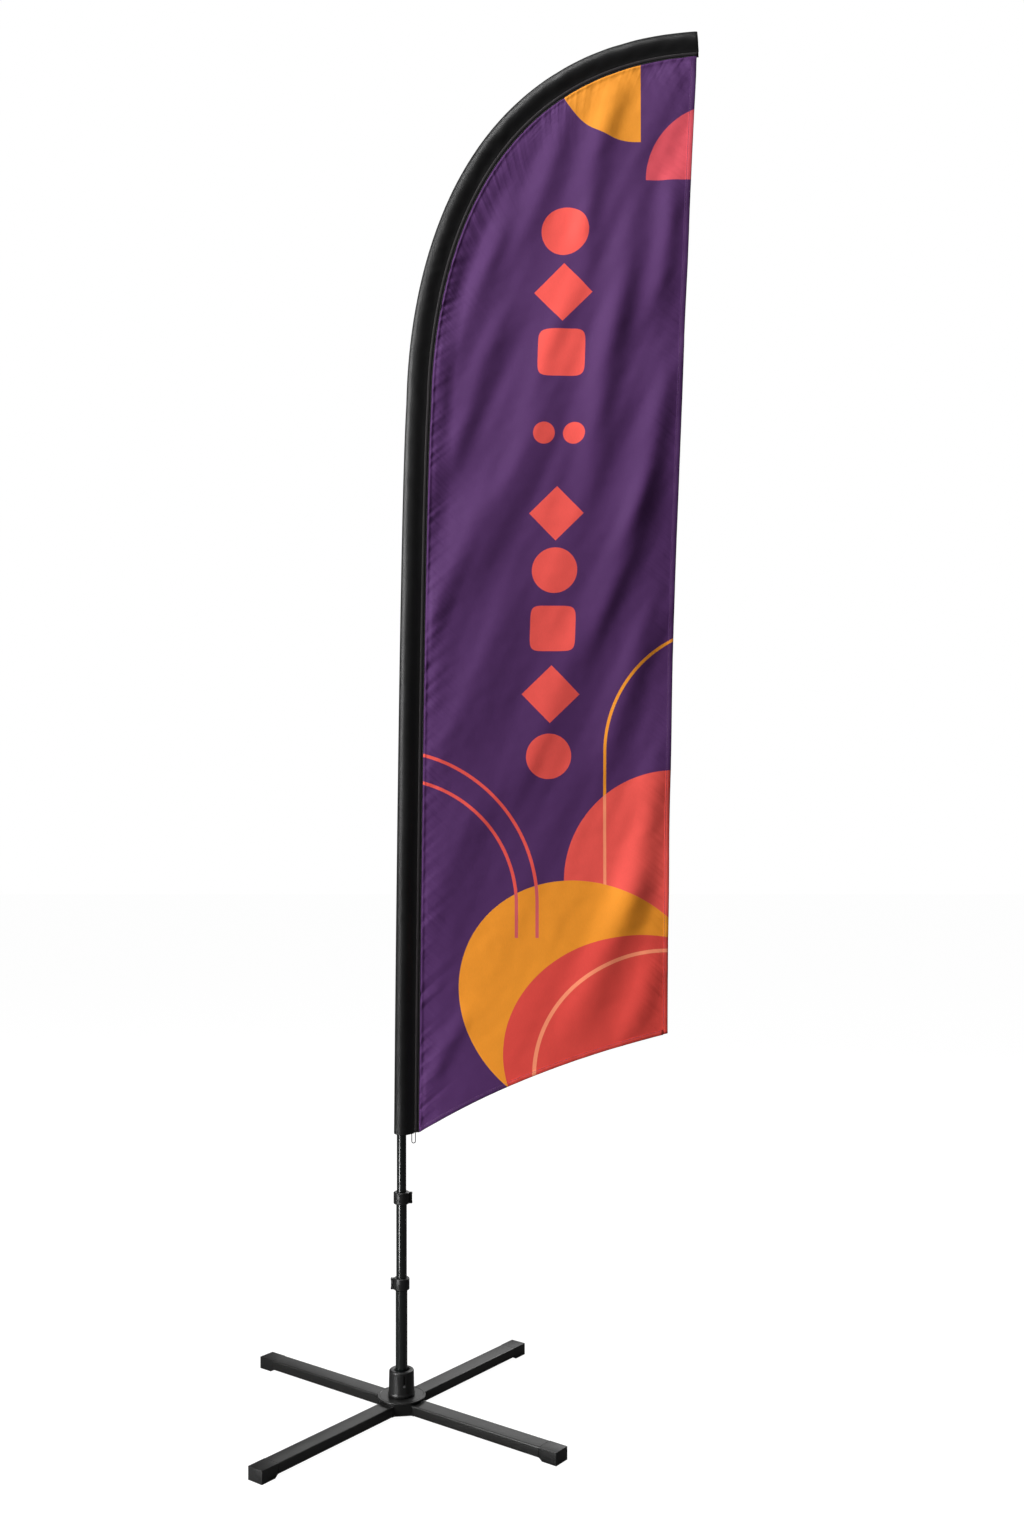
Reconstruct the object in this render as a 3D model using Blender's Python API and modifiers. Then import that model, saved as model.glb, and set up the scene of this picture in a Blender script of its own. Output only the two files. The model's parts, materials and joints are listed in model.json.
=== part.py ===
# Feather flag with a telescopic pole on a folding cross base.
# Metres, +Z up. The origin is on the floor under the pole. The flag hangs in the XZ plane, towards +X.
import bisect
import math

import bmesh
import bpy
from mathutils import Matrix, Vector
from mathutils.geometry import interpolate_bezier

MM = 0.001
GAP = 0.3 * MM  # between faces that touch
MERGE = 0.00002

# Cross base
LEG_TURN = math.radians(8)  # how far the cross stands turned to the flag
LEG_NAMES = {"front_left": 225, "front_right": 315, "back_right": 45, "back_left": 135}
LEG_W, LEG_H, LEG_WALL = 40 * MM, 22 * MM, 2 * MM
LEG_REACH = 430 * MM
FOOT_H, FOOT_LONG = 5.5 * MM, 44 * MM
TUBE_FROM = 52 * MM
PIN_R, PIN_HALF = 3 * MM, 26 * MM
PIN_U = 37 * MM  # the fold pin's distance from the pole axis
PIN_Z = FOOT_H + LEG_H / 2
HUB_FLATS, HUB_TOP, HUB_LOW = 96 * MM, 31 * MM, 6 * MM
PLATE_T = 2.7 * MM
SLOT_W, SLOT_TOP = LEG_W + 1 * MM, 27.8 * MM
SCREW_AT, SCREW_R, SCREW_TOP, SCREW_HEAD_R = 37 * MM, 2 * MM, 21 * MM, 3.6 * MM
DISC_R, DISC_TOP = 53 * MM, 35 * MM
SPINDLE_R, SPINDLE_NECK_R, SPINDLE_FLANGE_R = 8 * MM, 7.2 * MM, 14 * MM
SPINDLE_LOW, SPINDLE_TOP, FLANGE_TOP = 6.4 * MM, 49 * MM, 37.3 * MM
WELL_R, WELL_TOP = 17 * MM, 18 * MM
WASHER_R, WASHER_T, NUT_R, NUT_LOW = 15 * MM, 2 * MM, 13 * MM, 7.4 * MM
BEARING_LOW, BEARING_TOP = 37.6 * MM, 46.6 * MM
INNER_RACE_R, CAGE_R, OUTER_RACE_IN = 11 * MM, 14.2 * MM, 14.5 * MM
KNUCKLE_TONGUE, CAP_PLUG = 38 * MM, 26 * MM  # how far each reaches into its leg tube

# Rotator socket
SOCKET_LOW, SOCKET_TOP, SOCKET_R = 35.6 * MM, 91 * MM, 28 * MM
CAVITY_R, CAVITY_TOP, SOCKET_FLOOR = 18.3 * MM, 50 * MM, 53 * MM
KEY_TURN = math.radians(17)  # from -Y towards +X
KEY_Z, KEY_R, SLIT_TOP, SLIT_W = 61 * MM, 3 * MM, 84 * MM, 2.2 * MM
SOCKET_RIM = 4 * MM
MOUTH = ((5.5 * MM, 0.0), (3.5 * MM, 1 * MM), (0.0, 7 * MM))  # wider than the bore, below the top

# Telescopic pole: outer radii and walls
LOWER_R, LOWER_WALL = 12.9 * MM, 1.0 * MM
MIDDLE_R, MIDDLE_WALL = 11.6 * MM, 0.9 * MM
UPPER_R, UPPER_WALL = 10.4 * MM, 1.2 * MM
LOWER_SPAN = (SOCKET_FLOOR + GAP, 284 * MM)
MIDDLE_SPAN = (215 * MM, 473 * MM)
UPPER_SPAN = (398 * MM, 950 * MM)
CLAMP_R, CLAMP_H = 17.6 * MM, 26 * MM
CLAMP_ABOVE, CLAMP_CHAMFER, BUSH_R = 8 * MM, 1.6 * MM, 14.5 * MM
CLAMP_PIN_AT, CLAMP_PIN_R, EYE_R = 20.3 * MM, 1.5 * MM, 3.2 * MM
LEVER_CLEAR, LEVER_T, FORK_LIP = 0.5 * MM, 2.9 * MM, 5 * MM

# Pole pocket and cloth: Bezier points as (x, z) in the flag's plane
POCKET_FOOT = (-0.0161, 0.6098)
POCKET_KNOT = (0.0106, 2.2062)
POCKET_TIP = (0.6501, 3.032)
POCKET_EDGE = (
    (POCKET_FOOT, (-0.0119, 1.11), (-0.0015, 2.0096), POCKET_KNOT),
    (POCKET_KNOT, (0.0143, 2.2663), (0.0016, 2.9935), POCKET_TIP),
)
POCKET_W, POCKET_T, POCKET_WALL = 44 * MM, 30 * MM, 1.2 * MM
TAPE_W, CLOTH_T, TAPE_T = 10 * MM, 1.2 * MM, 2.4 * MM
CLOTH_FROM = POCKET_W + TAPE_W + 3 * GAP
POCKET_SIDES, STRAIGHT_STEP, BEND_STEP, BEND_FROM = 12, 0.13, 0.046, 1.5
FREE_EDGE = ((0.648, 2.976), (0.612, 2.256), (0.5895, 1.549), (0.5843, 0.8292))
HEM_EDGE = ((0.5843, 0.8292), (0.4, 0.786), (0.19, 0.708), (0.0405, 0.612))

# Flexible rods in the pocket
ROD_IN = 15 * MM  # rod centre from the pocket's outer edge
ROD_LOW_R, ROD_TOP_R, FERRULE_R = 6 * MM, 4.5 * MM, 8.2 * MM
ROD_FROM, ROD_JOINT = 0.19, 1.50  # lengths along the pocket's outer edge
FERRULE_HALF = 60 * MM

# Elastic loop at the pocket's mouth
LOOP_R, LOOP_X, LOOP_HALF_W, LOOP_DROP = 1.0 * MM, 26.5 * MM, 4 * MM, 21 * MM

for old in list(bpy.data.objects):
    bpy.data.objects.remove(old, do_unlink=True)

flag = bpy.data.collections.new("feather_flag_with_pole")
cutters = bpy.data.collections.new("cutters")
bpy.context.scene.collection.children.link(flag)
bpy.context.scene.collection.children.link(cutters)


# ---------------------------------------------------------------- materials
def finish(name, colour, roughness, metallic=0.0):
    mat = bpy.data.materials.new(name)
    mat.use_nodes = True
    shader = mat.node_tree.nodes["Principled BSDF"]
    shader.inputs["Base Color"].default_value = (*colour, 1)
    shader.inputs["Roughness"].default_value = roughness
    shader.inputs["Metallic"].default_value = metallic
    mat.diffuse_color = (*colour, 1)
    return mat


COATED = finish("black_coated_steel", (0.022, 0.022, 0.024), 0.45, 0.3)
PLASTIC = finish("black_plastic", (0.02, 0.02, 0.021), 0.5)
TUBE_COAT = finish("black_anodised_aluminium", (0.03, 0.038, 0.038), 0.35, 0.6)
STEEL = finish("bright_steel", (0.6, 0.6, 0.62), 0.3, 1.0)
FIBRE = finish("black_glass_fibre", (0.03, 0.03, 0.03), 0.4)
POCKET_CLOTH = finish("black_pocket_cloth", (0.012, 0.012, 0.014), 0.8)
TAPE_CLOTH = finish("grey_seam_tape", (0.05, 0.045, 0.05), 0.85)
PRINT_CLOTH = finish("purple_printed_cloth", (0.085, 0.03, 0.12), 0.8)
ELASTIC = finish("black_elastic", (0.015, 0.015, 0.016), 0.85)


# ------------------------------------------------------------- mesh helpers
def add_object(name, mesh, mat, group=flag):
    obj = bpy.data.objects.new(name, mesh)
    group.objects.link(obj)
    if mat is not None:
        mesh.materials.clear()
        mesh.materials.append(mat)
    if group is cutters:
        obj.hide_render = True
        obj.display_type = "WIRE"
    return obj


def from_bmesh(name, bm, mat, group=flag):
    mesh = bpy.data.meshes.new(name)
    bmesh.ops.recalc_face_normals(bm, faces=bm.faces)
    bm.to_mesh(mesh)
    bm.free()
    return add_object(name, mesh, mat, group)


def box(name, low, high, mat, group=flag):
    bm = bmesh.new()
    bmesh.ops.create_cube(bm, size=1)
    size = Vector(high) - Vector(low)
    middle = (Vector(high) + Vector(low)) / 2
    bmesh.ops.transform(bm, matrix=Matrix.Translation(middle) @ Matrix.Diagonal((*size, 1)), verts=bm.verts)
    return from_bmesh(name, bm, mat, group)


def cylinder(name, radius, start, end, mat, sides=24, group=flag, turn=0.0):
    bm = bmesh.new()
    run = Vector(end) - Vector(start)
    bmesh.ops.create_cone(bm, cap_ends=True, segments=sides, radius1=radius, radius2=radius, depth=run.length)
    place = Matrix.Translation((Vector(start) + Vector(end)) / 2)
    place = place @ run.to_track_quat("Z", "Y").to_matrix().to_4x4() @ Matrix.Rotation(turn, 4, "Z")
    bmesh.ops.transform(bm, matrix=place, verts=bm.verts)
    obj = from_bmesh(name, bm, mat, group)
    obj.data.shade_smooth()
    obj.data.set_sharp_from_angle(angle=math.radians(35))
    return obj


def turned(name, profile, mat, steps=40, closed=False):
    """A profile of (radius, z) points, running down the outer side, turned about Z."""
    mesh = bpy.data.meshes.new(name)
    count = len(profile)
    edges = [(i, i + 1) for i in range(count - 1)]
    if closed:
        edges.append((count - 1, 0))
    mesh.from_pydata([(r, 0, z) for r, z in profile], edges, [])
    obj = add_object(name, mesh, mat)
    screw = obj.modifiers.new("turn", "SCREW")
    screw.steps = steps
    screw.render_steps = steps
    screw.merge_threshold = MERGE
    screw.use_merge_vertices = True
    screw.use_smooth_shade = False
    return obj


def ring(name, outer, inner, low, high, mat, steps=40, chamfer=0.0):
    c = chamfer
    if c:
        outside = [(outer - c, high), (outer, high - c), (outer, low + c), (outer - c, low)]
    else:
        outside = [(outer, high), (outer, low)]
    return turned(name, outside + [(inner, low), (inner, high)], mat, steps, closed=True)


def boolean(obj, other, operation="DIFFERENCE"):
    step = obj.modifiers.new(other.name, "BOOLEAN")
    step.operation = operation
    step.solver = "EXACT"
    step.object = other


def bevel(obj, width, segments=1, angle=50):
    step = obj.modifiers.new("edge", "BEVEL")
    step.width = width
    step.segments = segments
    step.limit_method = "ANGLE"
    step.angle_limit = math.radians(angle)


def outline_solid(name, points, half, mat):
    """A flat outline of (x, z) points, made solid by half its thickness to each side of y = 0."""
    curve = bpy.data.curves.new(name, "CURVE")
    curve.dimensions = "2D"
    curve.fill_mode = "BOTH"
    curve.extrude = half
    curve.render_resolution_u = 0
    spline = curve.splines.new("POLY")
    spline.points.add(len(points) - 1)
    for knot, (x, z) in zip(spline.points, points):
        knot.co = (x, z, 0, 1)
    spline.use_cyclic_u = True
    guide = bpy.data.objects.new(name + "_outline", curve)
    guide.matrix_world = Matrix.Rotation(math.pi / 2, 4, "X")
    return curve_to_mesh(name, guide, mat)


def curve_to_mesh(name, guide, mat):
    cutters.objects.link(guide)
    bpy.context.view_layer.update()
    evaluated = guide.evaluated_get(bpy.context.evaluated_depsgraph_get())
    mesh = bpy.data.meshes.new_from_object(evaluated)
    bm = bmesh.new()
    bm.from_mesh(mesh)
    bmesh.ops.remove_doubles(bm, verts=bm.verts, dist=MERGE)
    bm.to_mesh(mesh)
    bm.free()
    obj = add_object(name, mesh, mat)
    obj.matrix_world = guide.matrix_world
    bpy.data.objects.remove(guide, do_unlink=True)
    return obj


def wire(name, points, radius, mat, detail=3):
    curve = bpy.data.curves.new(name, "CURVE")
    curve.dimensions = "3D"
    curve.bevel_depth = radius
    curve.bevel_resolution = detail
    curve.use_fill_caps = True
    curve.render_resolution_u = 0
    spline = curve.splines.new("POLY")
    spline.points.add(len(points) - 1)
    for knot, point in zip(spline.points, points):
        knot.co = (*point, 1)
    guide = bpy.data.objects.new(name + "_line", curve)
    return curve_to_mesh(name, guide, mat)


def hang_on(parent, *children):
    for child in children:
        place = child.matrix_world.copy()
        child.parent = parent
        child.matrix_parent_inverse = parent.matrix_world.inverted()
        child.matrix_world = place


def pivot(name, place):
    empty = bpy.data.objects.new(name, None)
    empty.empty_display_size = 0.03
    flag.objects.link(empty)
    empty.matrix_world = place
    bpy.context.view_layer.update()
    return empty


# ------------------------------------------------------------------- base
def leg_place(degrees):
    return Matrix.Rotation(math.radians(degrees) + LEG_TURN, 4, "Z")


def octagon(name, low, high, mat, group=flag):
    corner_r = HUB_FLATS / 2 / math.cos(math.pi / 8)
    turn = math.pi / 8 + LEG_TURN
    return cylinder(name, corner_r, (0, 0, low), (0, 0, high), mat, 8, group, turn)


def build_hub():
    body = octagon("hub_body", HUB_LOW + PLATE_T + GAP, HUB_TOP, COATED)
    body.data.shade_flat()
    plate = octagon("hub_bottom_plate", HUB_LOW, HUB_LOW + PLATE_T, COATED)
    plate.data.shade_flat()
    slot_in = PIN_U - LEG_H / 2 - 0.5 * MM
    groove = PIN_R + GAP
    for name, degrees in LEG_NAMES.items():
        place = leg_place(degrees)
        slot = box("slot_" + name, (slot_in, -SLOT_W / 2, 0), (0.08, SLOT_W / 2, SLOT_TOP), None, cutters)
        cut = box("groove_" + name, (PIN_U - PIN_R - 0.2 * MM, -PIN_HALF - GAP, 0),
                  (PIN_U + PIN_R + 0.2 * MM, PIN_HALF + GAP, PIN_Z), None, cutters)
        crown = cylinder("groove_top_" + name, groove, (PIN_U, -PIN_HALF - GAP, PIN_Z),
                         (PIN_U, PIN_HALF + GAP, PIN_Z), None, 12, cutters)
        for cutter in (slot, cut, crown):
            cutter.matrix_world = place
            boolean(body, cutter)
        rib = box("rib_" + name, (PIN_U - PIN_R, -PIN_HALF, HUB_LOW + PLATE_T / 2),
                  (PIN_U + PIN_R, PIN_HALF, PIN_Z - PIN_R - GAP), None, cutters)
        rib.matrix_world = place
        boolean(plate, rib, "UNION")
    for name, degrees in LEG_NAMES.items():
        boolean(plate, bpy.data.objects["slot_" + name])
    bore = cylinder("spindle_bore", SPINDLE_R + GAP, (0, 0, 0), (0, 0, 0.05), None, 24, cutters)
    well = cylinder("nut_well", WELL_R, (0, 0, 0), (0, 0, WELL_TOP), None, 24, cutters)
    boolean(body, bore)
    boolean(body, well)
    boolean(plate, well)
    for i in range(4):
        place = Matrix.Rotation(LEG_TURN + i * math.pi / 2, 4, "Z")
        tap_top = (SCREW_AT, 0, SCREW_TOP + GAP)
        tap = cylinder(f"tapping_{i}", SCREW_R + GAP, (SCREW_AT, 0, 0), tap_top, None, 10, cutters)
        tap.matrix_world = place
        boolean(body, tap)
        boolean(plate, tap)
        head_top = HUB_LOW - GAP
        screw = turned(f"plate_screw_{i + 1}", [
            (0, SCREW_TOP), (SCREW_R, SCREW_TOP - GAP), (SCREW_R, head_top), (SCREW_HEAD_R, head_top),
            (SCREW_HEAD_R, head_top - 1.2 * MM), (SCREW_HEAD_R - 1.2 * MM, head_top - 2.2 * MM),
            (0, head_top - 2.2 * MM),
        ], STEEL, 10)
        screw.matrix_world = place @ Matrix.Translation((SCREW_AT, 0, 0))


def build_spindle():
    low = HUB_TOP + GAP
    ring("flange_disc", DISC_R, SPINDLE_R + GAP, low, DISC_TOP, COATED, 48, chamfer=1.2 * MM)
    shoulder = DISC_TOP + GAP
    turned("spindle", [
        (0, SPINDLE_TOP), (SPINDLE_NECK_R, SPINDLE_TOP), (SPINDLE_NECK_R, SPINDLE_TOP - 2 * MM),
        (SPINDLE_R, SPINDLE_TOP - 2 * MM), (SPINDLE_R, FLANGE_TOP), (SPINDLE_FLANGE_R, FLANGE_TOP),
        (SPINDLE_FLANGE_R, shoulder), (SPINDLE_R, shoulder), (SPINDLE_R, SPINDLE_LOW + 0.8 * MM),
        (SPINDLE_R - 1 * MM, SPINDLE_LOW), (0, SPINDLE_LOW),
    ], STEEL, 24)
    bore = SPINDLE_R + GAP
    washer_low = WELL_TOP - GAP - WASHER_T
    ring("spindle_washer", WASHER_R, bore, washer_low, WELL_TOP - GAP, STEEL, 24)
    nut = cylinder("spindle_nut", NUT_R, (0, 0, NUT_LOW), (0, 0, washer_low - GAP), STEEL, 6)
    nut.data.shade_flat()
    thread = cylinder("nut_thread", bore, (0, 0, 0), (0, 0, DISC_TOP), None, 32, cutters)
    boolean(nut, thread)
    ring("bearing_inner_ring", INNER_RACE_R, bore, BEARING_LOW, BEARING_TOP, STEEL, 24)
    cage_low, cage_high = BEARING_LOW + 1.2 * MM, BEARING_TOP - 1.2 * MM
    ring("bearing_ball_cage", CAGE_R, INNER_RACE_R + GAP, cage_low, cage_high, STEEL, 24)
    clip_low, clip_high = SPINDLE_TOP - 2 * MM, SPINDLE_TOP - 0.6 * MM
    ring("bearing_clip", 10 * MM, SPINDLE_NECK_R + GAP, clip_low, clip_high, STEEL, 24)


def build_leg(name, degrees):
    joint = pivot("fold_" + name, leg_place(degrees) @ Matrix.Translation((PIN_U, 0, PIN_Z)))
    half_w, half_h = LEG_W / 2, LEG_H / 2
    tube_in, tube_out = TUBE_FROM - PIN_U, LEG_REACH - FOOT_LONG - PIN_U
    tube = open_tube("leg_tube_" + name, tube_in, tube_out, half_w, half_h)
    spigot_w, spigot_h = half_w - LEG_WALL - GAP, half_h - LEG_WALL - GAP
    nose = [(-half_h * math.sin(a), half_h * math.cos(a)) for a in (math.pi * i / 12 for i in range(13))]
    block_end = tube_in - GAP
    knuckle = outline_solid("leg_knuckle_" + name, nose + [(block_end, -half_h), (block_end, half_h)],
                            half_w, PLASTIC)
    tongue = box("knuckle_tongue_" + name, (tube_in - 4 * MM, -spigot_w, -spigot_h),
                 (tube_in + KNUCKLE_TONGUE, spigot_w, spigot_h), None, cutters)
    hole = cylinder("knuckle_hole_" + name, PIN_R + GAP, (0, -0.05, 0), (0, 0.05, 0), None, 16, cutters)
    boolean(knuckle, tongue, "UNION")
    boolean(knuckle, hole)
    pin = cylinder("leg_pin_" + name, PIN_R, (0, -PIN_HALF, 0), (0, PIN_HALF, 0), STEEL, 16)
    cap_in, cap_out, floor = tube_out + GAP, LEG_REACH - PIN_U, -PIN_Z
    cap = outline_solid("foot_cap_" + name, [
        (cap_in, half_h), (cap_out, half_h), (cap_out, floor), (cap_in + 8 * MM, floor),
        (cap_in + 1.5 * MM, -half_h), (cap_in, -half_h),
    ], half_w - 0.2 * MM, PLASTIC)
    bevel(cap, 1.2 * MM)
    plug = box("cap_plug_" + name, (cap_in - CAP_PLUG, -spigot_w, -spigot_h),
               (cap_in + 6 * MM, spigot_w, spigot_h), None, cutters)
    boolean(cap, plug, "UNION")
    for piece in (tube, knuckle, tongue, hole, cap, plug):
        piece.parent = joint
    pin.matrix_world = joint.matrix_world


def open_tube(name, start, end, half_w, half_h):
    """A rectangular tube along X with rounded long edges, open at both ends."""
    bm = bmesh.new()
    bmesh.ops.create_cube(bm, size=1)
    size = Matrix.Diagonal((end - start, half_w * 2, half_h * 2, 1))
    bmesh.ops.transform(bm, matrix=Matrix.Translation(((start + end) / 2, 0, 0)) @ size, verts=bm.verts)
    ends = [f for f in bm.faces if abs(f.normal.x) > 0.9]
    bmesh.ops.delete(bm, geom=ends, context="FACES_ONLY")
    long_edges = [e for e in bm.edges if abs((e.verts[0].co - e.verts[1].co).x) > half_w]
    bmesh.ops.bevel(bm, geom=long_edges, offset=2.2 * MM, segments=2, profile=0.5, affect="EDGES")
    tube = from_bmesh(name, bm, COATED)
    wall = tube.modifiers.new("wall", "SOLIDIFY")
    wall.thickness = LEG_WALL
    wall.offset = -1
    return tube


# ------------------------------------------------------------------- pole
def build_socket():
    rim = SOCKET_RIM
    arc = [(SOCKET_R - 0.8 * MM - rim * (1 - math.cos(a)), SOCKET_TOP - rim * (1 - math.sin(a)))
           for a in (math.radians(d) for d in (90, 60, 30, 0))]
    bore = LOWER_R + GAP
    mouth = [(bore + wider, SOCKET_TOP - down) for wider, down in MOUTH]
    bead = SOCKET_R + 1.5 * MM
    socket = turned("rotator_socket", [
        (0, SOCKET_FLOOR), (bore, SOCKET_FLOOR), *mouth[::-1], *arc, (SOCKET_R, SOCKET_LOW + 8.4 * MM),
        (bead, SOCKET_LOW + 4.9 * MM), (bead, SOCKET_LOW + 1.6 * MM), (SOCKET_R, SOCKET_LOW),
        (CAVITY_R, SOCKET_LOW), (CAVITY_R, CAVITY_TOP), (0, CAVITY_TOP),
    ], PLASTIC, 36)
    out = Vector((math.sin(KEY_TURN), -math.cos(KEY_TURN), 0))
    level = Vector((0, 0, KEY_Z))
    hole = cylinder("key_hole", KEY_R, level + out * 0.008, level + out * 0.04, None, 20, cutters)
    slit = box("key_slit", (-SLIT_W / 2, -0.04, KEY_Z), (SLIT_W / 2, -0.02, SLIT_TOP), None, cutters)
    slit.matrix_world = Matrix.Rotation(KEY_TURN, 4, "Z")
    boolean(socket, hole)
    boolean(socket, slit)
    screw = cylinder("socket_grub_screw", KEY_R - GAP, level + out * (LOWER_R + GAP),
                     level + out * 0.0262, STEEL, 20)
    key = cylinder("grub_hex", 1.4 * MM, level + out * 0.0235, level + out * 0.03, None, 6, cutters)
    boolean(screw, key)
    ring("bearing_outer_ring", CAVITY_R - GAP, OUTER_RACE_IN, BEARING_LOW, BEARING_TOP, STEEL, 24)


def build_tubes():
    ring("lower_pole_tube", LOWER_R, LOWER_R - LOWER_WALL, *LOWER_SPAN, TUBE_COAT, 32)
    ring("middle_pole_tube", MIDDLE_R, MIDDLE_R - MIDDLE_WALL, *MIDDLE_SPAN, TUBE_COAT, 32)
    ring("upper_pole_tube", UPPER_R, UPPER_R - UPPER_WALL, *UPPER_SPAN, TUBE_COAT, 32)
    build_plug("middle_tube_plug", MIDDLE_R, MIDDLE_WALL, MIDDLE_SPAN[0])
    build_plug("upper_tube_plug", UPPER_R, UPPER_WALL, UPPER_SPAN[0])


def build_plug(name, radius, wall, low):
    spigot = radius - wall - GAP
    turned(name, [
        (0, low + 14 * MM), (spigot, low + 13 * MM), (spigot, low - GAP), (radius, low - GAP),
        (radius, low - 4 * MM), (radius - 2 * MM, low - 6 * MM), (0, low - 6 * MM),
    ], PLASTIC, 20)


def build_clamp(level, outer_r, inner_r, tube_top, side):
    """A flip clamp: a collar on the outer tube, a bush on the inner one, and a lever on a pin."""
    high = tube_top + CLAMP_ABOVE
    low = high - CLAMP_H
    seat = tube_top + 2 * GAP
    c = CLAMP_CHAMFER
    collar = turned(level + "_clamp_collar", [
        (CLAMP_R - c, high), (CLAMP_R, high - c), (CLAMP_R, low + c), (CLAMP_R - c, low),
        (outer_r + GAP, low), (outer_r + GAP, seat), (BUSH_R + GAP, seat), (BUSH_R + GAP, high),
    ], PLASTIC, 32, closed=True)
    at_pin = Matrix.Translation((side * CLAMP_PIN_AT, 0, 0))
    facing = at_pin @ Matrix.Rotation(0 if side > 0 else math.pi, 4, "Z")
    lug = box(level + "_lug", (-4.6 * MM, -3.6 * MM, low + 0.8 * MM),
              (3.4 * MM, 3.6 * MM, high - 0.8 * MM), None, cutters)
    fork_low, fork_high = low + FORK_LIP, high - FORK_LIP
    clear = box(level + "_lug_gap", (-2.6 * MM, -8 * MM, fork_low),
                (8 * MM, 8 * MM, fork_high), None, cutters)
    fork = cylinder(level + "_fork", EYE_R + LEVER_CLEAR, (0, 0, fork_low), (0, 0, fork_high),
                    None, 24, cutters)
    hole = cylinder(level + "_pin_hole", CLAMP_PIN_R + GAP, (0, 0, low - 5 * MM), (0, 0, high + 5 * MM),
                    None, 16, cutters)
    for cutter, cutter_place in ((lug, facing), (clear, facing), (fork, at_pin), (hole, at_pin)):
        cutter.matrix_world = cutter_place
    boolean(collar, lug, "UNION")
    for cutter in (fork, hole, clear):
        boolean(collar, cutter)
    ring(level + "_clamp_bush", BUSH_R, inner_r + GAP, seat + GAP, high - GAP, PLASTIC, 24)
    pin_low, pin_high = low + 1.2 * MM, high - 1.2 * MM
    pin = cylinder(level + "_clamp_pin", CLAMP_PIN_R, (0, 0, pin_low), (0, 0, pin_high), STEEL, 16)
    pin.matrix_world = at_pin
    build_lever(level, side, at_pin, fork_low + GAP, fork_high - GAP, hole)


def build_lever(level, side, at_pin, low, high, hole):
    """A quarter ring that lies round the back of the collar, with an eye on the pin."""
    joint = pivot(level + "_lever_pivot", at_pin)
    inner = CLAMP_R + LEVER_CLEAR
    lever = ring(level + "_clamp_lever", inner + LEVER_T, inner, low, high, PLASTIC, 36, chamfer=0.6 * MM)
    past = 30 * MM
    near = box(level + "_lever_near", (-past, -past, 0), (past, 1.2 * MM, 1), None, cutters)
    x_low, x_high = (-past, 2 * MM) if side > 0 else (-2 * MM, past)
    far = box(level + "_lever_far", (x_low, -past, 0), (x_high, past, 1), None, cutters)
    eye = cylinder(level + "_lever_eye", EYE_R, (0, 0, low), (0, 0, high), None, 24, cutters)
    eye.matrix_world = at_pin
    boolean(lever, near)
    boolean(lever, far)
    boolean(lever, eye, "UNION")
    boolean(lever, hole)
    hang_on(joint, lever)


# ------------------------------------------------------------ pocket and cloth
def bezier(segment, count):
    corners = [Vector((x, 0, z)) for x, z in segment]
    return interpolate_bezier(*corners, count)


def measure(points):
    runs = [0.0]
    for a, b in zip(points, points[1:]):
        runs.append(runs[-1] + (b - a).length)
    return runs


EDGE = bezier(POCKET_EDGE[0], 300) + bezier(POCKET_EDGE[1], 300)[1:]
EDGE_RUN = measure(EDGE)
POCKET_LONG = EDGE_RUN[-1]


def on_pocket(run, distance=0.0):
    """The point at a length along the pocket's outer edge, moved inward, and the way inward."""
    i = min(max(bisect.bisect(EDGE_RUN, run), 1), len(EDGE) - 1)
    share = (run - EDGE_RUN[i - 1]) / (EDGE_RUN[i] - EDGE_RUN[i - 1])
    along = (EDGE[min(i + 2, len(EDGE) - 1)] - EDGE[max(i - 3, 0)]).normalized()
    normal = Vector((along.z, 0, -along.x))
    return EDGE[i - 1].lerp(EDGE[i], share) + normal * distance, normal


def runs_between(start, end):
    """Lengths along the pocket, wide apart where it is straight and close where it bends."""
    marks = [start]
    while marks[-1] < end:
        marks.append(marks[-1] + (STRAIGHT_STEP if marks[-1] < BEND_FROM else BEND_STEP))
    if end - marks[-2] < BEND_STEP / 2:
        marks.pop()
    marks[-1] = end
    return marks


def beside_pocket(distance, start=0.0, end=None):
    return [on_pocket(run, distance)[0] for run in runs_between(start, end or POCKET_LONG)]


def swept_loop(bm, section, path):
    """Carry a closed section along the path, by extruding and placing its edge loop."""
    loop = [bm.verts.new((0, 0, 0)) for _ in section]
    edges = [bm.edges.new((a, b)) for a, b in zip(loop, loop[1:] + loop[:1])]
    for i, (mark, normal) in enumerate(path):
        if i:
            grown = bmesh.ops.extrude_edge_only(bm, edges=edges)["geom"]
            edges = [g for g in grown if isinstance(g, bmesh.types.BMEdge)]
            fresh = {v for e in edges for v in e.verts}
            loop = [next(w for w in (e.other_vert(v) for e in v.link_edges) if w in fresh) for v in loop]
        for vert, (across, out) in zip(loop, section):
            vert.co = mark + normal * across + Vector((0, out, 0))


def build_pocket():
    half_w, half_t = POCKET_W / 2, POCKET_T / 2
    section = [(half_w - half_w * math.cos(a), half_t * math.sin(a))
               for a in (math.tau * i / POCKET_SIDES for i in range(POCKET_SIDES))]
    bm = bmesh.new()
    swept_loop(bm, section, [on_pocket(run) for run in runs_between(0, POCKET_LONG)])
    pocket = from_bmesh("pole_sleeve", bm, POCKET_CLOTH)
    wall = pocket.modifiers.new("wall", "SOLIDIFY")
    wall.thickness = POCKET_WALL
    wall.offset = -1


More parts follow.
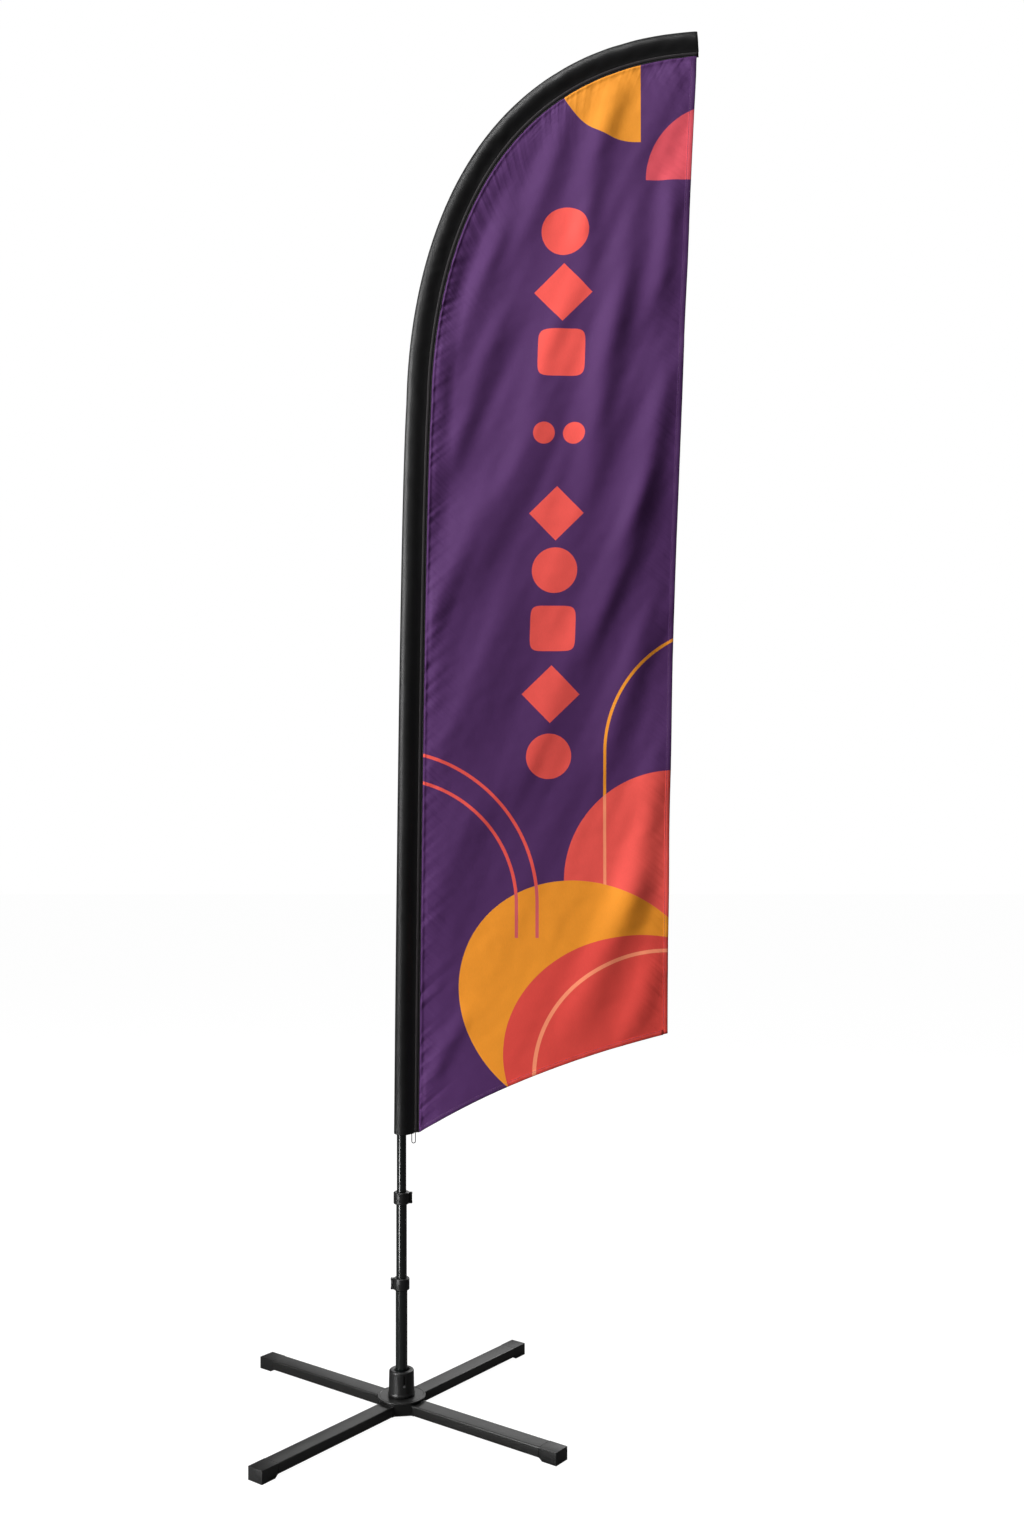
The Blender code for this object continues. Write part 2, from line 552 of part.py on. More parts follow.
def build_cloth():
    tape_in = beside_pocket(POCKET_W + GAP)
    tape_out = beside_pocket(POCKET_W + GAP + TAPE_W)
    outline_solid("seam_tape", [(p.x, p.z) for p in tape_in + tape_out[::-1]], TAPE_T / 2, TAPE_CLOTH)
    seam = [p for p in beside_pocket(CLOTH_FROM) if p.x < FREE_EDGE[0][0] - 4 * MM]
    edge = bezier(FREE_EDGE, 12) + bezier(HEM_EDGE, 12)[1:-1]
    outline_solid("flag_panel", [(p.x, p.z) for p in seam + edge], CLOTH_T / 2, PRINT_CLOTH)


def build_rods():
    wire("lower_flex_rod", beside_pocket(ROD_IN, ROD_FROM, ROD_JOINT - GAP), ROD_LOW_R, FIBRE, 2)
    wire("upper_flex_rod", beside_pocket(ROD_IN, ROD_JOINT, POCKET_LONG - 18 * MM), ROD_TOP_R, FIBRE, 2)
    middle, normal = on_pocket(ROD_JOINT, ROD_IN)
    along = Vector((-normal.z, 0, normal.x))
    ferrule = ring("rod_ferrule", FERRULE_R, ROD_LOW_R + 0.8 * MM, -FERRULE_HALF, FERRULE_HALF, STEEL, 24)
    ferrule.matrix_world = Matrix.Translation(middle) @ along.to_track_quat("Z", "Y").to_matrix().to_4x4()
    end, normal = on_pocket(POCKET_LONG)
    along = Vector((-normal.z, 0, normal.x))
    cap = bmesh.new()
    bmesh.ops.create_cone(cap, cap_ends=True, segments=20, radius1=1, radius2=1, depth=1)
    axes = Matrix((normal, Vector((0, 1, 0)), along)).transposed().to_4x4()
    size = Matrix.Diagonal((POCKET_W / 2 - 4 * MM, POCKET_T / 2 - 3.5 * MM, 14 * MM, 1))
    place = Matrix.Translation(end + normal * (POCKET_W / 2) - along * 9 * MM) @ axes @ size
    bmesh.ops.transform(cap, matrix=place, verts=cap.verts)
    from_bmesh("tip_cap", cap, PLASTIC)


def build_loop():
    points = []
    top = POCKET_FOOT[1] - 1 * MM
    turn_z = top - LOOP_DROP + LOOP_HALF_W
    points += [(LOOP_X - LOOP_HALF_W, 0, top - t * (top - turn_z)) for t in (0, 0.33, 0.67)]
    points += [(LOOP_X - LOOP_HALF_W * math.cos(a), 0, turn_z - LOOP_HALF_W * math.sin(a))
               for a in (math.pi * i / 8 for i in range(9))]
    points += [(LOOP_X + LOOP_HALF_W, 0, top - t * (top - turn_z)) for t in (0.67, 0.33, 0)]
    wire("elastic_loop", points, LOOP_R, ELASTIC, 2)


build_hub()
build_spindle()
for leg_name, leg_degrees in LEG_NAMES.items():
    build_leg(leg_name, leg_degrees)
build_socket()
build_tubes()
build_clamp("lower", LOWER_R, MIDDLE_R, LOWER_SPAN[1], -1)
build_clamp("upper", MIDDLE_R, UPPER_R, MIDDLE_SPAN[1], 1)
build_pocket()
build_cloth()
build_rods()
build_loop()
bpy.context.view_layer.update()
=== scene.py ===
# The looks of a feather flag: printed cloth on a black pole pocket, a telescopic pole, a folding cross base.
import bisect
import json
import math

import bpy
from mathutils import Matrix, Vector, noise
from mathutils.geometry import interpolate_bezier


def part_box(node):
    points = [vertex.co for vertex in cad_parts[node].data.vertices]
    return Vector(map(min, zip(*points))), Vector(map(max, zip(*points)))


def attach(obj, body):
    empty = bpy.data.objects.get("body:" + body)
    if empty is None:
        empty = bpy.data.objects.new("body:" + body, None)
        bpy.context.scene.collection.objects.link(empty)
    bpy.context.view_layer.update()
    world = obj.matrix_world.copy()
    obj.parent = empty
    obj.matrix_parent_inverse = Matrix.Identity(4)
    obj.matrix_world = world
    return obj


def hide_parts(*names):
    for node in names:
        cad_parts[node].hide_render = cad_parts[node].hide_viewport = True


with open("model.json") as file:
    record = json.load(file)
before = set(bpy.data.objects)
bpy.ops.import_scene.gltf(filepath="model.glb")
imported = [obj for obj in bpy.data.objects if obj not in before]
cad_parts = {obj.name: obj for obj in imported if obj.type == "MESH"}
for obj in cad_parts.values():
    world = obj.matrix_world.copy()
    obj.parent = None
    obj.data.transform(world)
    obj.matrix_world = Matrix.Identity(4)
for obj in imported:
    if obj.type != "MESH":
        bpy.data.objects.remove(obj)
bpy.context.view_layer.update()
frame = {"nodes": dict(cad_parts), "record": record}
nodes = frame["nodes"]
mm = 0.001


def newObject(name, data):
    item = bpy.data.objects.new(name, data)
    bpy.context.scene.collection.objects.link(item)
    return item


def mode(name):
    bpy.ops.object.mode_set(mode=name)


def selectNothing():
    bpy.ops.object.select_all(action="DESELECT")


def selectMesh(action="SELECT"):
    bpy.ops.mesh.select_all(action=action)


# shader maths

def operator(operation):
    def method(self, *others):
        return self.calc(operation, self, *others)
    return method


class Value:
    # one shader socket; calculating with it adds Math nodes
    def __init__(self, finish, socket):
        self.finish = finish
        self.socket = socket

    def calc(self, operation, *values, clamp=False):
        return self.finish.add("ShaderNodeMath", {"operation": operation, "use_clamp": clamp},
                               dict(enumerate(values)))

    def other(self, output):
        return Value(self.finish, self.socket.node.outputs[output])

    def __rsub__(self, other):
        return self.calc("SUBTRACT", other, self)

    __add__ = __radd__ = operator("ADD")
    __sub__ = operator("SUBTRACT")
    __mul__ = __rmul__ = operator("MULTIPLY")
    __truediv__ = operator("DIVIDE")
    __pow__ = operator("POWER")
    __lt__ = operator("LESS_THAN")
    __gt__ = operator("GREATER_THAN")
    __abs__ = operator("ABSOLUTE")
    sine = operator("SINE")
    exponent = operator("EXPONENT")
    atLeast = operator("MAXIMUM")


class Finish:
    # one material: add() makes any node, feed() links or sets a socket
    def __init__(self, name, **constants):
        self.material = bpy.data.materials.new(name)
        self.material.use_nodes = True
        self.tree = self.material.node_tree
        self.shader = self.tree.nodes["Principled BSDF"]
        for socket, constant in constants.items():
            self.shader.inputs[socket.replace("_", " ")].default_value = constant
        self.place = self.add("ShaderNodeTexCoord", output="Object")
        split = self.add("ShaderNodeSeparateXYZ", {}, {0: self.place})
        self.x, self.y, self.z = split, split.other(1), split.other(2)

    def add(self, kind, settings=None, inputs=None, output=0):
        node = self.tree.nodes.new(kind)
        for name, setting in (settings or {}).items():
            setattr(node, name, setting)
        for name, given in (inputs or {}).items():
            self.feed(node.inputs[name], given)
        return Value(self, node.outputs[output])

    def feed(self, socket, given):
        if isinstance(given, Value):
            self.tree.links.new(given.socket, socket)
        else:
            socket.default_value = given

    def paint(self, **inputs):
        for name, given in inputs.items():
            self.feed(self.shader.inputs[name.replace("_", " ")], given)

    def mix(self, low, high, share):
        return self.add("ShaderNodeMix", {"data_type": "RGBA"}, {0: share, 6: low, 7: high}, output=2)

    def shaded(self, colour, amount):
        if not isinstance(colour, Value):
            colour = colour[:3]
        return self.add("ShaderNodeVectorMath", {"operation": "SCALE"}, {0: colour, "Scale": amount})

    def cloud(self, scale, detail=2.0, spots=None):
        return self.add("ShaderNodeTexNoise", {},
                        {"Vector": spots or self.place, "Scale": scale, "Detail": detail})

    def stretched(self, scale):
        return self.add("ShaderNodeMapping", {}, {"Vector": self.place, "Scale": scale})

    def bump(self, height, depth, strength=1.0):
        self.paint(Normal=self.add("ShaderNodeBump", {},
                                   {"Height": height, "Distance": depth, "Strength": strength}))

    def soft(self, inside, blur=0.8 * mm):
        # 0 outside a printed shape and 1 inside it, from the distance to its edge
        return inside.calc("MULTIPLY_ADD", inside, 1 / blur, 0.5, clamp=True)


# camera, floor and light

cameraSet = {
    "place": (0.243, -3.036, 1.25),
    "lens": 32.34,  # mm, on a 36 mm frame
    "shiftUp": 0.0482,  # the horizon lies below the middle
}
floorSet = {"size": 60, "level": -0.2 * mm, "colour": (0.1, 0.1, 0.1, 1), "roughness": 0.8, "glow": 0.97}
worldSet = {"seen": 1.0, "ambient": 0.09}
lightSet = {
    # place, where it points, width, height, watts
    "key": ((-3.5, -1.7, 3.3), (0.25, 0, 1.6), 0.7, 2.2, 185),
    "strip": ((-3.3, -2.3, 2.3), (0.1, 0, 2.1), 0.34, 4.4, 72),
    "kicker": ((-0.72, -0.72, 0.2), (0, 0, 0.2), 0.14, 0.4, 4.6),
    "front": ((1.6, -5.0, 2.4), (0.2, 0, 1.0), 2.5, 2.5, 3),
    "top": ((-0.5, -1.7, 5.2), (0.3, 0, 1.8), 1.2, 1.2, 80),
    "back": ((0.6, 4.6, 2.3), (0.1, 0, 0.6), 3.2, 1.6, 30),
    "behind": ((2.2, 3.4, 2.9), (0.3, 0, 1.6), 1.4, 2.4, 85),
}


def setCamera():
    data = bpy.data.cameras.new("camera")
    data.lens = cameraSet["lens"]
    data.sensor_width = 36
    data.shift_y = cameraSet["shiftUp"]
    camera = newObject("camera", data)
    camera.location = cameraSet["place"]
    camera.rotation_euler = (math.pi / 2, 0, 0)
    bpy.context.scene.camera = camera


def setStage():
    selectNothing()
    bpy.ops.mesh.primitive_plane_add(size=floorSet["size"], location=(0, 0, floorSet["level"]))
    floor = bpy.context.object
    floor.name = "floor"
    finish = Finish("studio_floor", Base_Color=floorSet["colour"], Roughness=floorSet["roughness"],
                    Emission_Strength=floorSet["glow"])
    finish.paint(Emission_Color=finish.add("ShaderNodeLightPath", output="Is Camera Ray"))
    floor.data.materials.append(finish.material)

    world = bpy.data.worlds.new("studio")
    bpy.context.scene.world = world
    world.use_nodes = True
    tree = world.node_tree
    ground = tree.nodes["Background"]
    seen = tree.nodes.new("ShaderNodeLightPath").outputs["Is Camera Ray"]
    strength = tree.nodes.new("ShaderNodeMapRange")
    strength.inputs["To Min"].default_value = worldSet["ambient"]
    strength.inputs["To Max"].default_value = worldSet["seen"]
    tree.links.new(seen, strength.inputs["Value"])
    tree.links.new(strength.outputs[0], ground.inputs["Strength"])
    ground.inputs["Color"].default_value = (1, 1, 1, 1)

    for name, (place, aim, width, height, power) in lightSet.items():
        data = bpy.data.lights.new(name, "AREA")
        data.shape = "RECTANGLE"
        data.size = width
        data.size_y = height
        data.energy = power
        lamp = newObject(name, data)
        lamp.location = place
        lamp.rotation_euler = (Vector(aim) - Vector(place)).to_track_quat("-Z", "Y").to_euler()
    bpy.context.scene.view_settings.view_transform = "Standard"


setCamera()
setStage()
print("stage: camera, floor and", len(lightSet), "lamps")


def srgb(red, green, blue):
    def linear(part):
        part /= 255
        return part / 12.92 if part < 0.04045 else ((part + 0.055) / 1.055) ** 2.4
    return (linear(red), linear(green), linear(blue), 1)


def weave(across, along, pitch):
    # threads over and under, as two crossed waves
    turn = math.tau / pitch
    return (across * turn).sine() * (along * turn).sine() * 0.5 + 0.5


# finishes

steelSet = {"low": (0.004, 0.004, 0.0038, 1), "high": (0.010, 0.0098, 0.0092, 1), "grain": 1400, "pits": 260}
plasticSet = {"low": (0.004, 0.004, 0.004, 1), "high": (0.009, 0.009, 0.009, 1), "grain": 2400}
tubeSet = {"low": (0.002, 0.0032, 0.003, 1), "high": (0.006, 0.0082, 0.0078, 1)}
brightSet = {"low": (0.42, 0.42, 0.43, 1), "high": (0.66, 0.66, 0.67, 1)}
fibreSet = {"low": (0.012, 0.012, 0.012, 1), "high": (0.035, 0.034, 0.03, 1)}
pocketSet = {"low": (0.0035, 0.0035, 0.0037, 1), "high": (0.0085, 0.0083, 0.0087, 1), "pitch": 1.1 * mm}
# the tape is grey in its middle and black outside it; the black band between the tape and the print is
# painted shadow of the gap there
tapeSet = {"grey": (0.022, 0.019, 0.021, 1), "black": (0.004, 0.004, 0.004, 1), "pitch": 1.3 * mm,
           "middle": 4 * mm, "half": 3.1 * mm, "blur": 0.6 * mm}  # where the grey face lies across it
elasticSet = {"low": (0.008, 0.008, 0.008, 1), "high": (0.03, 0.03, 0.031, 1), "pitch": 1.4 * mm,
              "lean": 1800}
clothSet = {"pitch": 1.2 * mm, "relief": 0.11 * mm, "gather": 10 * mm, "reach": 36 * mm}


def coatedSteel():
    finish = Finish("powder_coated_steel", Metallic=0.0, IOR=1.5)
    orange = finish.cloud(steelSet["grain"], 3)
    patches = finish.cloud(9, 4)
    finish.paint(Base_Color=finish.mix(steelSet["low"], steelSet["high"], patches * 0.6 + orange * 0.4),
                 Roughness=patches * 0.14 + orange * 0.08 + 0.26)
    finish.bump(orange * 0.7 + finish.cloud(steelSet["pits"], 2) * 0.3, 0.12 * mm, 0.5)
    return finish.material


def mouldedPlastic():
    finish = Finish("moulded_black_plastic", IOR=1.48)
    grain = finish.cloud(plasticSet["grain"], 2)
    patches = finish.cloud(30, 3)
    finish.paint(Base_Color=finish.mix(plasticSet["low"], plasticSet["high"], patches),
                 Roughness=patches * 0.14 + grain * 0.08 + 0.28)
    finish.bump(grain, 0.05 * mm, 0.5)
    return finish.material


def anodisedTube():
    finish = Finish("black_anodised_tube", Metallic=0.0, IOR=1.6)
    drawn = finish.cloud(90, 3, finish.stretched((14, 14, 0.35)))
    wear = finish.cloud(22, 5)
    finish.paint(Base_Color=finish.mix(tubeSet["low"], tubeSet["high"], drawn * 0.6 + wear * 0.4),
                 Roughness=drawn * 0.08 + wear * 0.04 + 0.13)
    finish.bump(drawn, 0.03 * mm, 0.08)
    return finish.material


def brightSteel():
    finish = Finish("bright_zinc_steel", Metallic=1.0)
    turned = finish.cloud(60, 3, finish.stretched((1, 1, 18)))
    finish.paint(Base_Color=finish.mix(brightSet["low"], brightSet["high"], turned),
                 Roughness=turned * 0.2 + 0.2)
    finish.bump(turned, 0.03 * mm, 0.3)
    return finish.material


def glassFibre():
    finish = Finish("black_glass_fibre", IOR=1.52)
    strands = finish.cloud(300, 2, finish.stretched((6, 6, 0.4)))
    finish.paint(Base_Color=finish.mix(fibreSet["low"], fibreSet["high"], strands),
                 Roughness=strands * 0.2 + 0.25)
    finish.bump(strands, 0.05 * mm, 0.4)
    return finish.material


def clothMap(finish):
    spots = finish.add("ShaderNodeUVMap", {"uv_map": "clothMap"})
    split = finish.add("ShaderNodeSeparateXYZ", {}, {0: spots})
    return split, split.other(1)


def pocketCloth():
    finish = Finish("black_pocket_cloth", Specular_IOR_Level=0.4)
    across, along = clothMap(finish)
    threads = weave(across, along, pocketSet["pitch"])
    patches = finish.cloud(45, 4)
    finish.paint(Base_Color=finish.mix(pocketSet["low"], pocketSet["high"], patches * 0.6 + threads * 0.4),
                 Roughness=patches * 0.12 + 0.36)
    finish.bump(threads * 0.6 + patches * 0.4, 0.3 * mm, 0.5)
    return finish.material


def tapeCloth():
    finish = Finish("grey_seam_tape", Specular_IOR_Level=0.2)
    across, along = clothMap(finish)
    ribs = (along * (math.tau / tapeSet["pitch"])).sine() * 0.5 + 0.5
    worn = finish.cloud(120, 3)
    inner = finish.soft(abs(across - tapeSet["middle"]) * -1 + tapeSet["half"], tapeSet["blur"])
    grey = finish.shaded(tapeSet["grey"], worn * 0.5 + 0.7)
    # outside the grey face the tape is painted black: painted shadow of the gap beside the print
    finish.paint(Base_Color=finish.mix(tapeSet["black"], grey, inner), Roughness=worn * 0.1 + 0.7)
    finish.bump(ribs * 0.6 + worn * 0.4, 0.25 * mm, 0.6)
    return finish.material


def elasticCord():
    finish = Finish("braided_elastic", Specular_IOR_Level=0.3)
    braid = (finish.z * (math.tau / elasticSet["pitch"]) + finish.x * elasticSet["lean"]).sine() * 0.5 + 0.5
    finish.paint(Base_Color=finish.mix(elasticSet["low"], elasticSet["high"], braid),
                 Roughness=braid * 0.1 + 0.65)
    finish.bump(braid, 0.15 * mm, 0.6)
    return finish.material


# the flag's print: places and sizes in metres in the flag's plane, colours as they look on the cloth
inkSet = {
    "purple": srgb(79, 43, 95),
    "amber": srgb(243, 151, 43),
    # a darker copy of the amber ink for the top quarter: painted shade that evens out the stronger light at
    # the top
    "shadedTopAmber": srgb(225, 143, 42),
    "coral": srgb(236, 86, 78),
    "deepCoral": srgb(225, 74, 66),
    "rose": srgb(216, 92, 100),
    "duskyRose": srgb(214, 80, 92),
    "peach": srgb(255, 150, 112),
}
printSet = {
    "topQuarter": {"centre": (0.5247, 2.977), "radius": 0.190, "right": 0.5258},
    "rightQuarter": {"centre": (0.7016, 2.704), "radius": 0.1646, "low": 2.7038},
    "halfDisc": {"centre": (0.6017, 1.1642), "radius": 0.2442},
    "amberForm": {"centre": (0.408, 0.900), "reach": (0.2912, 0.2552), "tilt": math.radians(149.2)},
    "lowerDisc": {"centre": (0.5269, 0.7836), "reach": (0.3036, 0.2618)},
    "amberLine": {"centre": (0.7282, 1.448), "reach": (0.2805, 0.2805), "half": 3.3 * mm, "end": 1.02},
    "peachLine": {"centre": (0.5863, 0.7374), "reach": (0.2948, 0.2739), "half": 4.1 * mm, "end": 0.5},
    "outerLine": {"centre": (-0.0378, 1.1158), "reach": (0.336, 0.336), "half": 3.6 * mm, "end": 1.0388},
    "innerLine": {"centre": (-0.0253, 1.1114), "reach": (0.278, 0.278), "half": 3.6 * mm, "end": 1.0388},
    "column": {"foot": (0.3223, 1.393), "top": (0.3619, 2.649)},
}
# plain shapes up the middle: kind, height of its centre, half its size
columnShapes = (
    ("disc", 1.439, 0.050), ("diamond", 1.576, 0.064), ("square", 1.721, 0.050), ("disc", 1.849, 0.050),
    ("diamond", 1.974, 0.060), ("dots", 2.150, 0.060), ("square", 2.328, 0.052), ("diamond", 2.460, 0.064),
    ("disc", 2.594, 0.052),
)


def ringDistance(finish, centre, reach, tilt=0.0):
    # distance outward from an ellipse, near enough close to its edge
    right, up = finish.x - centre[0], finish.z - centre[1]
    a = (right * math.cos(tilt) + up * math.sin(tilt)) / reach[0]
    b = (up * math.cos(tilt) - right * math.sin(tilt)) / reach[1]
    return ((a * a + b * b) ** 0.5 - 1) * ((reach[0] + reach[1]) / 2)


def printedDisc(finish, centre, reach, tilt=0.0):
    return finish.soft(ringDistance(finish, centre, reach, tilt) * -1)


def printedLine(finish, centre, reach, half, end, side):
    # a quarter ring, then straight down to its end; side is -1 for a ring left of its centre
    arc = finish.soft(abs(ringDistance(finish, centre, reach)) * -1 + half)
    arc = arc * (finish.z > centre[1]) * ((finish.x - centre[0]) * side > 0)
    run = finish.soft(abs(finish.x - (centre[0] + side * reach[0])) * -1 + half)
    run = run * (finish.z < centre[1] + 0.1 * mm) * finish.soft(finish.z - end)
    return arc.atLeast(run)


def columnShape(finish, kind, across, up, size):
    if kind == "disc":
        return finish.soft((across * across + up * up) ** 0.5 * -1 + size)
    if kind == "diamond":
        return finish.soft(abs(across) * -1 - abs(up) + size)
    if kind == "square":
        rounded = (across ** 6 + up ** 6) ** (1 / 6)
        return finish.soft(rounded * -1 + size)
    besides = abs(across) - size * 0.55
    return finish.soft((besides * besides + up * up) ** 0.5 * -1 + size * 0.4)


def columnMask(finish):
    (footX, footZ), (topX, topZ) = printSet["column"]["foot"], printSet["column"]["top"]
    across = finish.x - ((finish.z - footZ) * ((topX - footX) / (topZ - footZ)) + footX)
    mask = None
    for kind, level, size in columnShapes:
        shape = columnShape(finish, kind, across, finish.z - level, size)
        mask = shape if mask is None else mask.atLeast(shape)
    return mask


def printedColour(finish):
    top, right, half = printSet["topQuarter"], printSet["rightQuarter"], printSet["halfDisc"]
    form, low = printSet["amberForm"], printSet["lowerDisc"]
    halfDisc = printedDisc(finish, half["centre"], (half["radius"],) * 2)
    amberForm = printedDisc(finish, form["centre"], form["reach"], form["tilt"])
    colour = finish.mix(inkSet["purple"], inkSet["coral"], halfDisc)
    lineInk = finish.mix(inkSet["amber"], inkSet["peach"], halfDisc)
    colour = finish.mix(colour, lineInk, printedLine(finish, side=-1, **printSet["amberLine"]))
    colour = finish.mix(colour, inkSet["amber"], amberForm)
    arcInk = finish.mix(inkSet["coral"], inkSet["rose"], amberForm)
    for name in ("outerLine", "innerLine"):
        colour = finish.mix(colour, arcInk, printedLine(finish, side=1, **printSet[name]))
    lowerDisc = printedDisc(finish, low["centre"], low["reach"])
    colour = finish.mix(colour, inkSet["deepCoral"], lowerDisc)
    colour = finish.mix(colour, inkSet["peach"], printedLine(finish, side=-1, **printSet["peachLine"]))
    topQuarter = printedDisc(finish, top["centre"], (top["radius"],) * 2)
    topQuarter = topQuarter * finish.soft(top["right"] - finish.x)
    # the top quarter takes the darker amber copy, painted shade
    colour = finish.mix(colour, inkSet["shadedTopAmber"], topQuarter)
    rightQuarter = printedDisc(finish, right["centre"], (right["radius"],) * 2)
    rightQuarter = rightQuarter * finish.soft(finish.z - right["low"])
    colour = finish.mix(colour, inkSet["duskyRose"], rightQuarter)
    return finish.mix(colour, inkSet["coral"], columnMask(finish))


def gathers(finish, mapName, lean):
    # short creases running in from a sewn edge, fading out over their reach; the map holds (in, along)
    spots = finish.add("ShaderNodeUVMap", {"uv_map": mapName})
    split = finish.add("ShaderNodeSeparateXYZ", {}, {0: spots})
    inward, run = split, split.other(1)
    leaning = finish.add("ShaderNodeCombineXYZ", {}, {0: inward * 6, 1: (run + inward * lean) * 48, 2: 0.0})
    crease = finish.cloud(1.0, 1.5, leaning)
    clusters = finish.cloud(1.0, 1.0, finish.add("ShaderNodeCombineXYZ", {}, {0: 3.0, 1: run * 4.5, 2: 7.0}))
    fade = (inward * (-1 / clothSet["reach"])).exponent()
    return (crease - 0.5) * (clusters * 2.4 - 0.5).atLeast(0.25) * fade * clothSet["gather"]


def printCloth(name, shade=1.0, gathered=True):
    finish = Finish(name, Specular_IOR_Level=0.18)
    threads = weave(finish.x, finish.z, clothSet["pitch"])
    slubs = finish.cloud(520, 2, finish.stretched((1, 1, 0.25)))
    patches = finish.cloud(14, 4)
    # the noises give the cloth's own uneven tone; shade scales all of it, and a shade below 1 is painted
    # shade
    tone = (patches * 0.10 + slubs * 0.10 + threads * 0.06 + 0.87) * shade
    finish.paint(Base_Color=finish.shaded(printedColour(finish), tone), Roughness=patches * 0.1 + 0.62)
    surface = (threads + slubs) * clothSet["relief"]
    if gathered:
        surface += gathers(finish, "seamMap", 0.9) + gathers(finish, "edgeMap", -0.8)
    finish.bump(surface, 1.0, 0.8)
    return finish.material


def sewingThread(name, low, high):
    finish = Finish(name, Sheen_Weight=0.2, Specular_IOR_Level=0.35)
    ply = finish.cloud(2600, 2)
    finish.paint(Base_Color=finish.mix(low, high, ply), Roughness=ply * 0.15 + 0.55)
    finish.bump(ply, 0.1 * mm, 0.6)
    return finish.material


finishes = {
    "coated_steel": coatedSteel(),
    "moulded_plastic": mouldedPlastic(),
    "pole_tube": anodisedTube(),
    "bright_steel": brightSteel(),
    "glass_fibre": glassFibre(),
    "pocket_cloth": pocketCloth(),
    "seam_tape": tapeCloth(),
    "print_cloth": printCloth("printed_flag_cloth"),
    # the hems: the print darkened to 0.86, painted shade standing in for less light through the doubled cloth
    "shaded_hem_cloth": printCloth("printed_hem_cloth", 0.86, gathered=False),
    "elastic": elasticCord(),
    "purple_thread": sewingThread("purple_thread", srgb(84, 46, 96), srgb(142, 82, 140)),
    "grey_thread": sewingThread("grey_thread", srgb(40, 38, 38), srgb(84, 80, 80)),
}
for part in frame["record"]["subparts"]:
    mesh = nodes[part["node"]].data
    mesh.materials.clear()
    mesh.materials.append(finishes[part["material_slot"]])
print("finishes:", len(finishes), "on", len(nodes), "nodes")


# small helpers for pieces

def wear(piece, slot, body, *stoodFor, finish=None):
    piece.data.materials.clear()
    piece.data.materials.append(finishes[finish or slot])
    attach(piece, body)
    if stoodFor:
        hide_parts(*stoodFor)
    return piece


def meshPiece(name, points, faces):
    mesh = bpy.data.meshes.new(name)
    mesh.from_pydata(points, [], faces)
    mesh.update()
    mesh.shade_smooth()
    return newObject(name, mesh)


def sideFaces(rings, around):
    # the faces between each ring of points and the next
    return [(i * around + j, (i + 1) * around + j, (i + 1) * around + k, i * around + k)
            for i in range(rings - 1) for j, k in zip(range(around), (*range(1, around), 0))]


def pick(piece):
    selectNothing()
    piece.select_set(True)
    bpy.context.view_layer.objects.active = piece


def faceOutward(piece):
    pick(piece)
    mode("EDIT")
    selectMesh()
    bpy.ops.mesh.normals_make_consistent(inside=False)
    mode("OBJECT")
    return piece


def applyModifiers(piece):
    pick(piece)
    for step in list(piece.modifiers):
        bpy.ops.object.modifier_apply(modifier=step.name)


def addWall(piece, thickness, offset):
    wall = piece.modifiers.new("wall", "SOLIDIFY")
    wall.thickness = thickness
    wall.offset = offset
    applyModifiers(piece)


def roundEdges(piece, width, segments=3, angle=38):
    edge = piece.modifiers.new("edge", "BEVEL")
    edge.width = width
    edge.segments = segments
    edge.limit_method = "ANGLE"
    edge.angle_limit = math.radians(angle)
    applyModifiers(piece)


def cutWith(piece, cutter):
    cut = piece.modifiers.new("cut", "BOOLEAN")
    cut.operation = "DIFFERENCE"
    cut.solver = "EXACT"
    cut.object = cutter
    applyModifiers(piece)
    bpy.data.objects.remove(cutter, do_unlink=True)


def settle(piece, angle=32):
    # smooth shading between close faces, and the object's own place put into its mesh
    pick(piece)
    bpy.ops.object.transform_apply(location=True, rotation=True, scale=True)
    bpy.ops.object.shade_smooth_by_angle(angle=math.radians(angle))
    return piece


# the pocket's line, shared by everything sewn along it

lineSet = {
    "pocketEdge": (
        ((-0.0161, 0.6098), (-0.0119, 1.11), (-0.0015, 2.0096), (0.0106, 2.2062)),
        ((0.0106, 2.2062), (0.0143, 2.2663), (0.0016, 2.9935), (0.6501, 3.032)),
    ),
    "freeEdge": ((0.5843, 0.8292), (0.5895, 1.549), (0.612, 2.256), (0.648, 2.976)),
    "hemEdge": ((0.0405, 0.612), (0.19, 0.708), (0.4, 0.786), (0.5843, 0.8292)),
}


def curvePoints(corners, count):
    return interpolate_bezier(*(Vector((x, 0, z)) for x, z in corners), count)


def runLengths(points):
    runs = [0.0]
    for a, b in zip(points, points[1:]):
        runs.append(runs[-1] + (b - a).length)
    return runs


edgePoints = curvePoints(lineSet["pocketEdge"][0], 300) + curvePoints(lineSet["pocketEdge"][1], 300)[1:]
edgeRuns = runLengths(edgePoints)
pocketLong = edgeRuns[-1]


def onPocket(run, inward=0.0):
    # a point this far along the pocket's outer edge and this far in from it, the way along and the way in
    i = min(max(bisect.bisect(edgeRuns, run), 1), len(edgePoints) - 1)
    share = (run - edgeRuns[i - 1]) / (edgeRuns[i] - edgeRuns[i - 1])
    along = (edgePoints[min(i + 3, len(edgePoints) - 1)] - edgePoints[max(i - 4, 0)]).normalized()
    inside = Vector((along.z, 0, -along.x))
    return edgePoints[i - 1].lerp(edgePoints[i], share) + inside * inward, along, inside


def smooth(share):
    share = min(max(share, 0.0), 1.0)
    return share * share * (3 - 2 * share)


def ripple(x, y, z=0.0):
    return noise.noise(Vector((x, y, z)))


# elastic loop at the pocket's mouth

loopSet = {"radius": 1.0 * mm, "x": 26.5 * mm, "halfWide": 4 * mm, "top": 0.6175, "turn": 0.5918}


